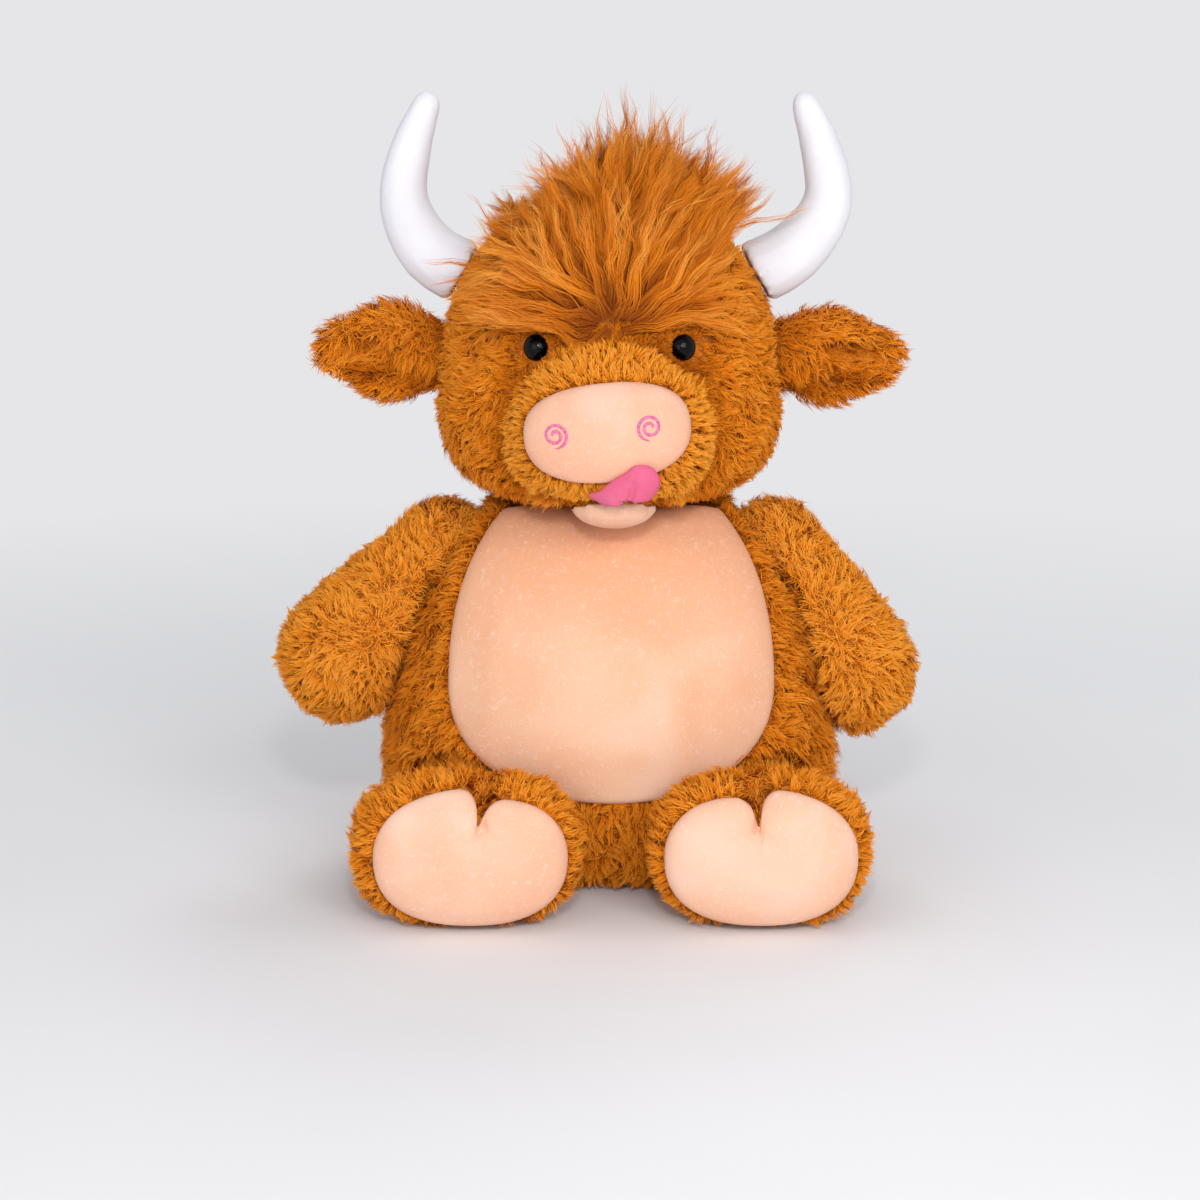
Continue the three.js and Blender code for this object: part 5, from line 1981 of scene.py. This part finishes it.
@dataclass
class Leg:
    """A short leg with a cloven foot and its smooth sole.

    Each crease runs down from the cleft's foot, with its lean in degrees and its length.
    """

    wardrobe: Wardrobe
    side: Side
    pile_depth: float = 3.6 * MM
    notch_bottom: float = 54 * MM
    crease_depth: float = 2.2 * MM
    crease_half_width: float = 1.4 * MM
    creases: ClassVar[tuple[tuple[float, float], ...]] = ((0, 26 * MM), (-48, 13 * MM), (50, 15 * MM))

    @property
    def notch_aside(self) -> float:
        """How far the notch lies to the right of the sole's middle."""
        return 5.6 * MM if self.side is Side.LEFT else -2.5 * MM

    def sole(self) -> Patch:
        """The sole as a patch with a cleft and creases below it.

        Returns:
            The patch.
        """
        low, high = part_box(f"sole_{self.side.word}")
        centre = ((low[0] + high[0]) / 2, (low[2] + high[2]) / 2)
        notch = self.notch_aside
        deep = self.notch_bottom - centre[1]
        reach = (high[2] - low[2]) / 2
        angle = math.atan2(reach * 0.75, notch)

        def shrink(direction: float) -> float:
            off = direction - angle
            notched = (1 - deep / reach) * math.exp(-((abs(off) / 0.115) ** 1.4))
            lower_lobe = 0.07 * math.exp(-(((off * self.side.value - 0.25) / 0.35) ** 2))
            return (1 - lower_lobe) * (1 - notched)

        def relief(x: Array, z: Array) -> Array:
            height = np.zeros_like(x)
            across, up = x - centre[0] - notch, z - self.notch_bottom + 1 * MM
            for lean, long in self.creases:
                sine, cosine = math.sin(math.radians(lean)), math.cos(math.radians(lean))
                along, off = across * sine - up * cosine, -across * cosine - up * sine
                fade = np.clip(1 - along / long, 0, 1) * (along > -3 * MM)
                height -= self.crease_depth * fade * np.exp(-((off / self.crease_half_width) ** 2))
            return height

        return Patch(
            centre=centre,
            half_width=(high[0] - low[0]) / 2 + 0.5 * MM,
            up=reach,
            down=reach,
            up_round=2.05,
            down_round=2.3,
            proud=0.8 * MM,
            crown=3.5 * MM,
            tuck=4.0 * MM,
            rim=0.84,
            across=56,
            shrink=shrink,
            relief=relief,
        )

    def build(self) -> None:
        """Makes the leg, its sole and its fur."""
        word, sign = self.side.word, self.side.value
        body, solids = f"leg_{word}_body", [f"leg_{word}", f"sole_{word}"]
        form = cushion(f"leg_form_{word}", solids)
        patch = self.sole()
        sole = patch.build(f"sole_patch_{word}", tree_of(form))
        sole_tree = tree_of(sole)
        bpy.data.objects.remove(form)
        skin = cushion(f"leg_cushion_{word}", solids, inset=self.pile_depth)
        hinge = Hinge.named(f"leg_{word}_splay")
        neighbours = [
            Neighbour(frame_tree("body", "belly_panel"), hinge, own_turns=True, give=3 * MM),
            Neighbour(frame_tree(f"arm_{word}")),
            Neighbour(frame_tree(f"leg_{Side(-sign).word}")),
        ]

        def open_air(places: Array, normals: Array) -> Ground:
            covered = behind_patch(sole_tree, patch, places)
            covered &= (places[:, 1] < -80 * MM) & (normals[:, 1] < 0.25)
            covered |= bare_under(places, normals, slope=0.8, furry=0.4, seed=Seed.FEET)
            return Ground(np.where(covered, 0.0, 1.0))

        outward = away_from((patch.centre[0], -150 * MM, 30 * MM))

        def comb(places: Array, normals: Array) -> Array:
            cleft = np.abs(places[:, 0] - patch.centre[0] - self.notch_aside) < 8 * MM
            cleft &= (places[:, 1] < -88 * MM) & (places[:, 2] > self.notch_bottom - 4 * MM)
            return np.where(cleft[:, None], np.array([0, -0.6, -1.0]), outward(places, normals))

        pile = Pile(turn=0.5, tone=0.5)
        survey = free_of(neighbours, open_air)
        fur = pile.grow(f"leg_fur_{word}", skin, comb, Seed.LEG + sign, survey)
        dress_furry(skin, fur, body, self.wardrobe, solids[:1])
        dress(sole, body, self.wardrobe.peach, solids[1:])


@dataclass
class Tail:
    """The tail with its tuft of long hair."""

    wardrobe: Wardrobe
    body: str = "tail_body"
    pile_depth: float = 1.6 * MM
    locks: int = 26
    rows: int = 8

    def build(self) -> None:
        """Makes the tail, its fur and its tuft."""
        skin = cushion("tail_cushion", ["tail"], inset=self.pile_depth, voxel=2 * MM, cap=0.6 * MM)
        torso = Neighbour(frame_tree("body"), Hinge.named("tail_swing"), own_turns=True)
        pile = Pile(length=7 * MM, lift=0.45, lay=0.9, turn=0.3, spacing=2.8 * MM)

        def downwards(places: Array, normals: Array) -> Array:
            return np.tile([0, 0, -1.0], (len(places), 1))

        fur = pile.grow("tail_fur", skin, downwards, Seed.TAIL, free_of([torso]))
        dress_furry(skin, fur, self.body, self.wardrobe, ["tail"])
        self.tuft()

    def tuft(self) -> None:
        """Makes the tuft at the tail's end."""
        low, high = (np.array(corner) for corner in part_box("tail_tuft"))
        middle = (low + high) / 2
        draw = np.random.default_rng(Seed.TAIL_TUFT)
        count, rows = self.locks, self.rows
        turn = draw.uniform(0, 2 * math.pi, count)
        ring = np.sqrt(draw.uniform(0, 1, count))
        along = np.linspace(0, 1, rows)
        swell = 0.45 + 0.75 * np.sin(math.pi * (along * 0.75 + 0.05))
        half = (high[0] - low[0]) / 2 - 2 * MM
        guides = np.empty((count, rows, 3))
        outward = np.stack([np.cos(turn), np.sin(turn), np.zeros(count)], axis=1)
        for axis in (0, 1):
            guides[..., axis] = middle[axis] + (ring * outward[:, axis])[:, None] * swell * half
        drop = draw.uniform(0.75, 1, count)[:, None] * along
        guides[..., 2] = high[2] + 4 * MM - drop * (high[2] - low[2] + 4 * MM)
        strands = 14, 1.8 * MM, 0.35 * MM, Seed.TAIL_STRANDS
        tuft = hair_mesh("tail_hair", guides, outward, np.ones(count), *strands)
        dress(tuft, self.body, self.wardrobe.hair, ["tail_tuft"])


# ---- Studio ----

WALL = (0.79, 0.79, 0.81)


@dataclass(frozen=True)
class Lamp:
    """A soft square lamp that looks at the toy."""

    place: Spot
    size: float
    power: float

    def light(self, name: str, target: Vector) -> None:
        """Sets the lamp up.

        Args:
            name: The lamp's name.
            target: Where it looks.
        """
        data = bpy.data.lights.new(name, "AREA")
        data.size = self.size
        data.energy = self.power
        lamp = add_object(name, data)
        lamp.location = self.place
        lamp.rotation_euler = (target - Vector(self.place)).to_track_quat("-Z", "Y").to_euler()


@dataclass
class Studio:
    """Camera, lamps, floor and backdrop."""

    camera_place: Spot = (-4.5 * MM, -1506.8 * MM, 457.8 * MM)
    pitch: float = 12.1
    lens: float = 92.82
    target: Vector = field(default_factory=lambda: Vector((0, 0, 0.19)))
    lamps: tuple[Lamp, ...] = (
        Lamp((0.6, -1.7, 0.9), 1.0, 16),
        Lamp((-0.8, -1.6, 0.4), 1.2, 6),
        Lamp((0.3, 1.1, 1.4), 0.9, 6),
        Lamp((0.0, -1.3, 0.7), 0.09, 4.6),
    )

    def build(self) -> None:
        """Makes the camera, lamps, floor and world."""
        data = bpy.data.cameras.new("camera")
        data.sensor_width = 36
        data.lens = self.lens
        camera = add_object("camera", data)
        camera.location = self.camera_place
        camera.rotation_euler = (math.radians(90 - self.pitch), 0, 0)
        bpy.context.scene.camera = camera
        for index, lamp in enumerate(self.lamps):
            lamp.light(f"lamp_{index + 1}", self.target)
        self.floor()
        self.world()
        bpy.context.scene.view_settings.view_transform = "Standard"

    def floor(self) -> None:
        """Lays the pale floor, which melts into the wall's colour far from the toy."""
        deselect()
        bpy.ops.mesh.primitive_plane_add(size=12)
        floor = bpy.context.active_object
        floor.name = "floor"
        shader = Shader("floor_pale")
        tone = shader.ramp(shader.noise(3, 4), ((0.3, (0.85, 0.85, 0.87)), (0.7, (0.88, 0.88, 0.895))))
        shader.coat(tone, 0.8, 0.1)
        away = shader.node("VectorMath", operation="LENGTH")
        shader.feed(away.inputs[0], shader.place())
        glow = shader.node("Emission")
        shader.feed(glow.inputs["Color"], WALL)
        blend = shader.node("MixShader")
        far = shader.maths("MULTIPLY", away.outputs["Value"], 0.4)
        shader.feed(blend.inputs[0], shader.mask(far, 0.12, 0.42))
        shader.feed(blend.inputs[1], shader.surface.outputs[0])
        shader.feed(blend.inputs[2], glow.outputs[0])
        shader.feed(shader.tree.nodes["Material Output"].inputs["Surface"], blend.outputs[0])
        floor.data.materials.append(shader.material)

    def world(self) -> None:
        """Fills the room with even light, and shows a pale wall to the camera and in gloss."""
        world = bpy.data.worlds.new("room")
        bpy.context.scene.world = world
        world.use_nodes = True
        nodes, link = world.node_tree.nodes, world.node_tree.links.new
        room, wall = nodes["Background"], nodes.new("ShaderNodeBackground")
        for node, colour, strength in ((room, (0.95, 0.97, 1.0), 0.48), (wall, WALL, 1.0)):
            node.inputs["Color"].default_value = (*colour, 1)
            node.inputs["Strength"].default_value = strength
        rays = nodes.new("ShaderNodeLightPath")
        either, any_of_three = nodes.new("ShaderNodeMath"), nodes.new("ShaderNodeMath")
        either.operation = any_of_three.operation = "MAXIMUM"
        mix = nodes.new("ShaderNodeMixShader")
        link(rays.outputs["Is Camera Ray"], either.inputs[0])
        link(rays.outputs["Is Glossy Ray"], either.inputs[1])
        link(either.outputs[0], any_of_three.inputs[0])
        link(rays.outputs["Is Transmission Ray"], any_of_three.inputs[1])
        for slot, output in enumerate((any_of_three.outputs[0], room.outputs[0], wall.outputs[0])):
            link(output, mix.inputs[slot])
        link(mix.outputs[0], nodes["World Output"].inputs["Surface"])


def main() -> None:
    """Builds the toy and its studio."""
    wardrobe = Wardrobe()
    wardrobe.line()
    Studio().build()
    Torso(wardrobe).build()
    Head(wardrobe).build()
    for side in Side:
        Ear(wardrobe, side).build()
        Arm(wardrobe, side).build()
        Leg(wardrobe, side).build()
    Tail(wardrobe).build()


if __name__ == "__main__":
    main()
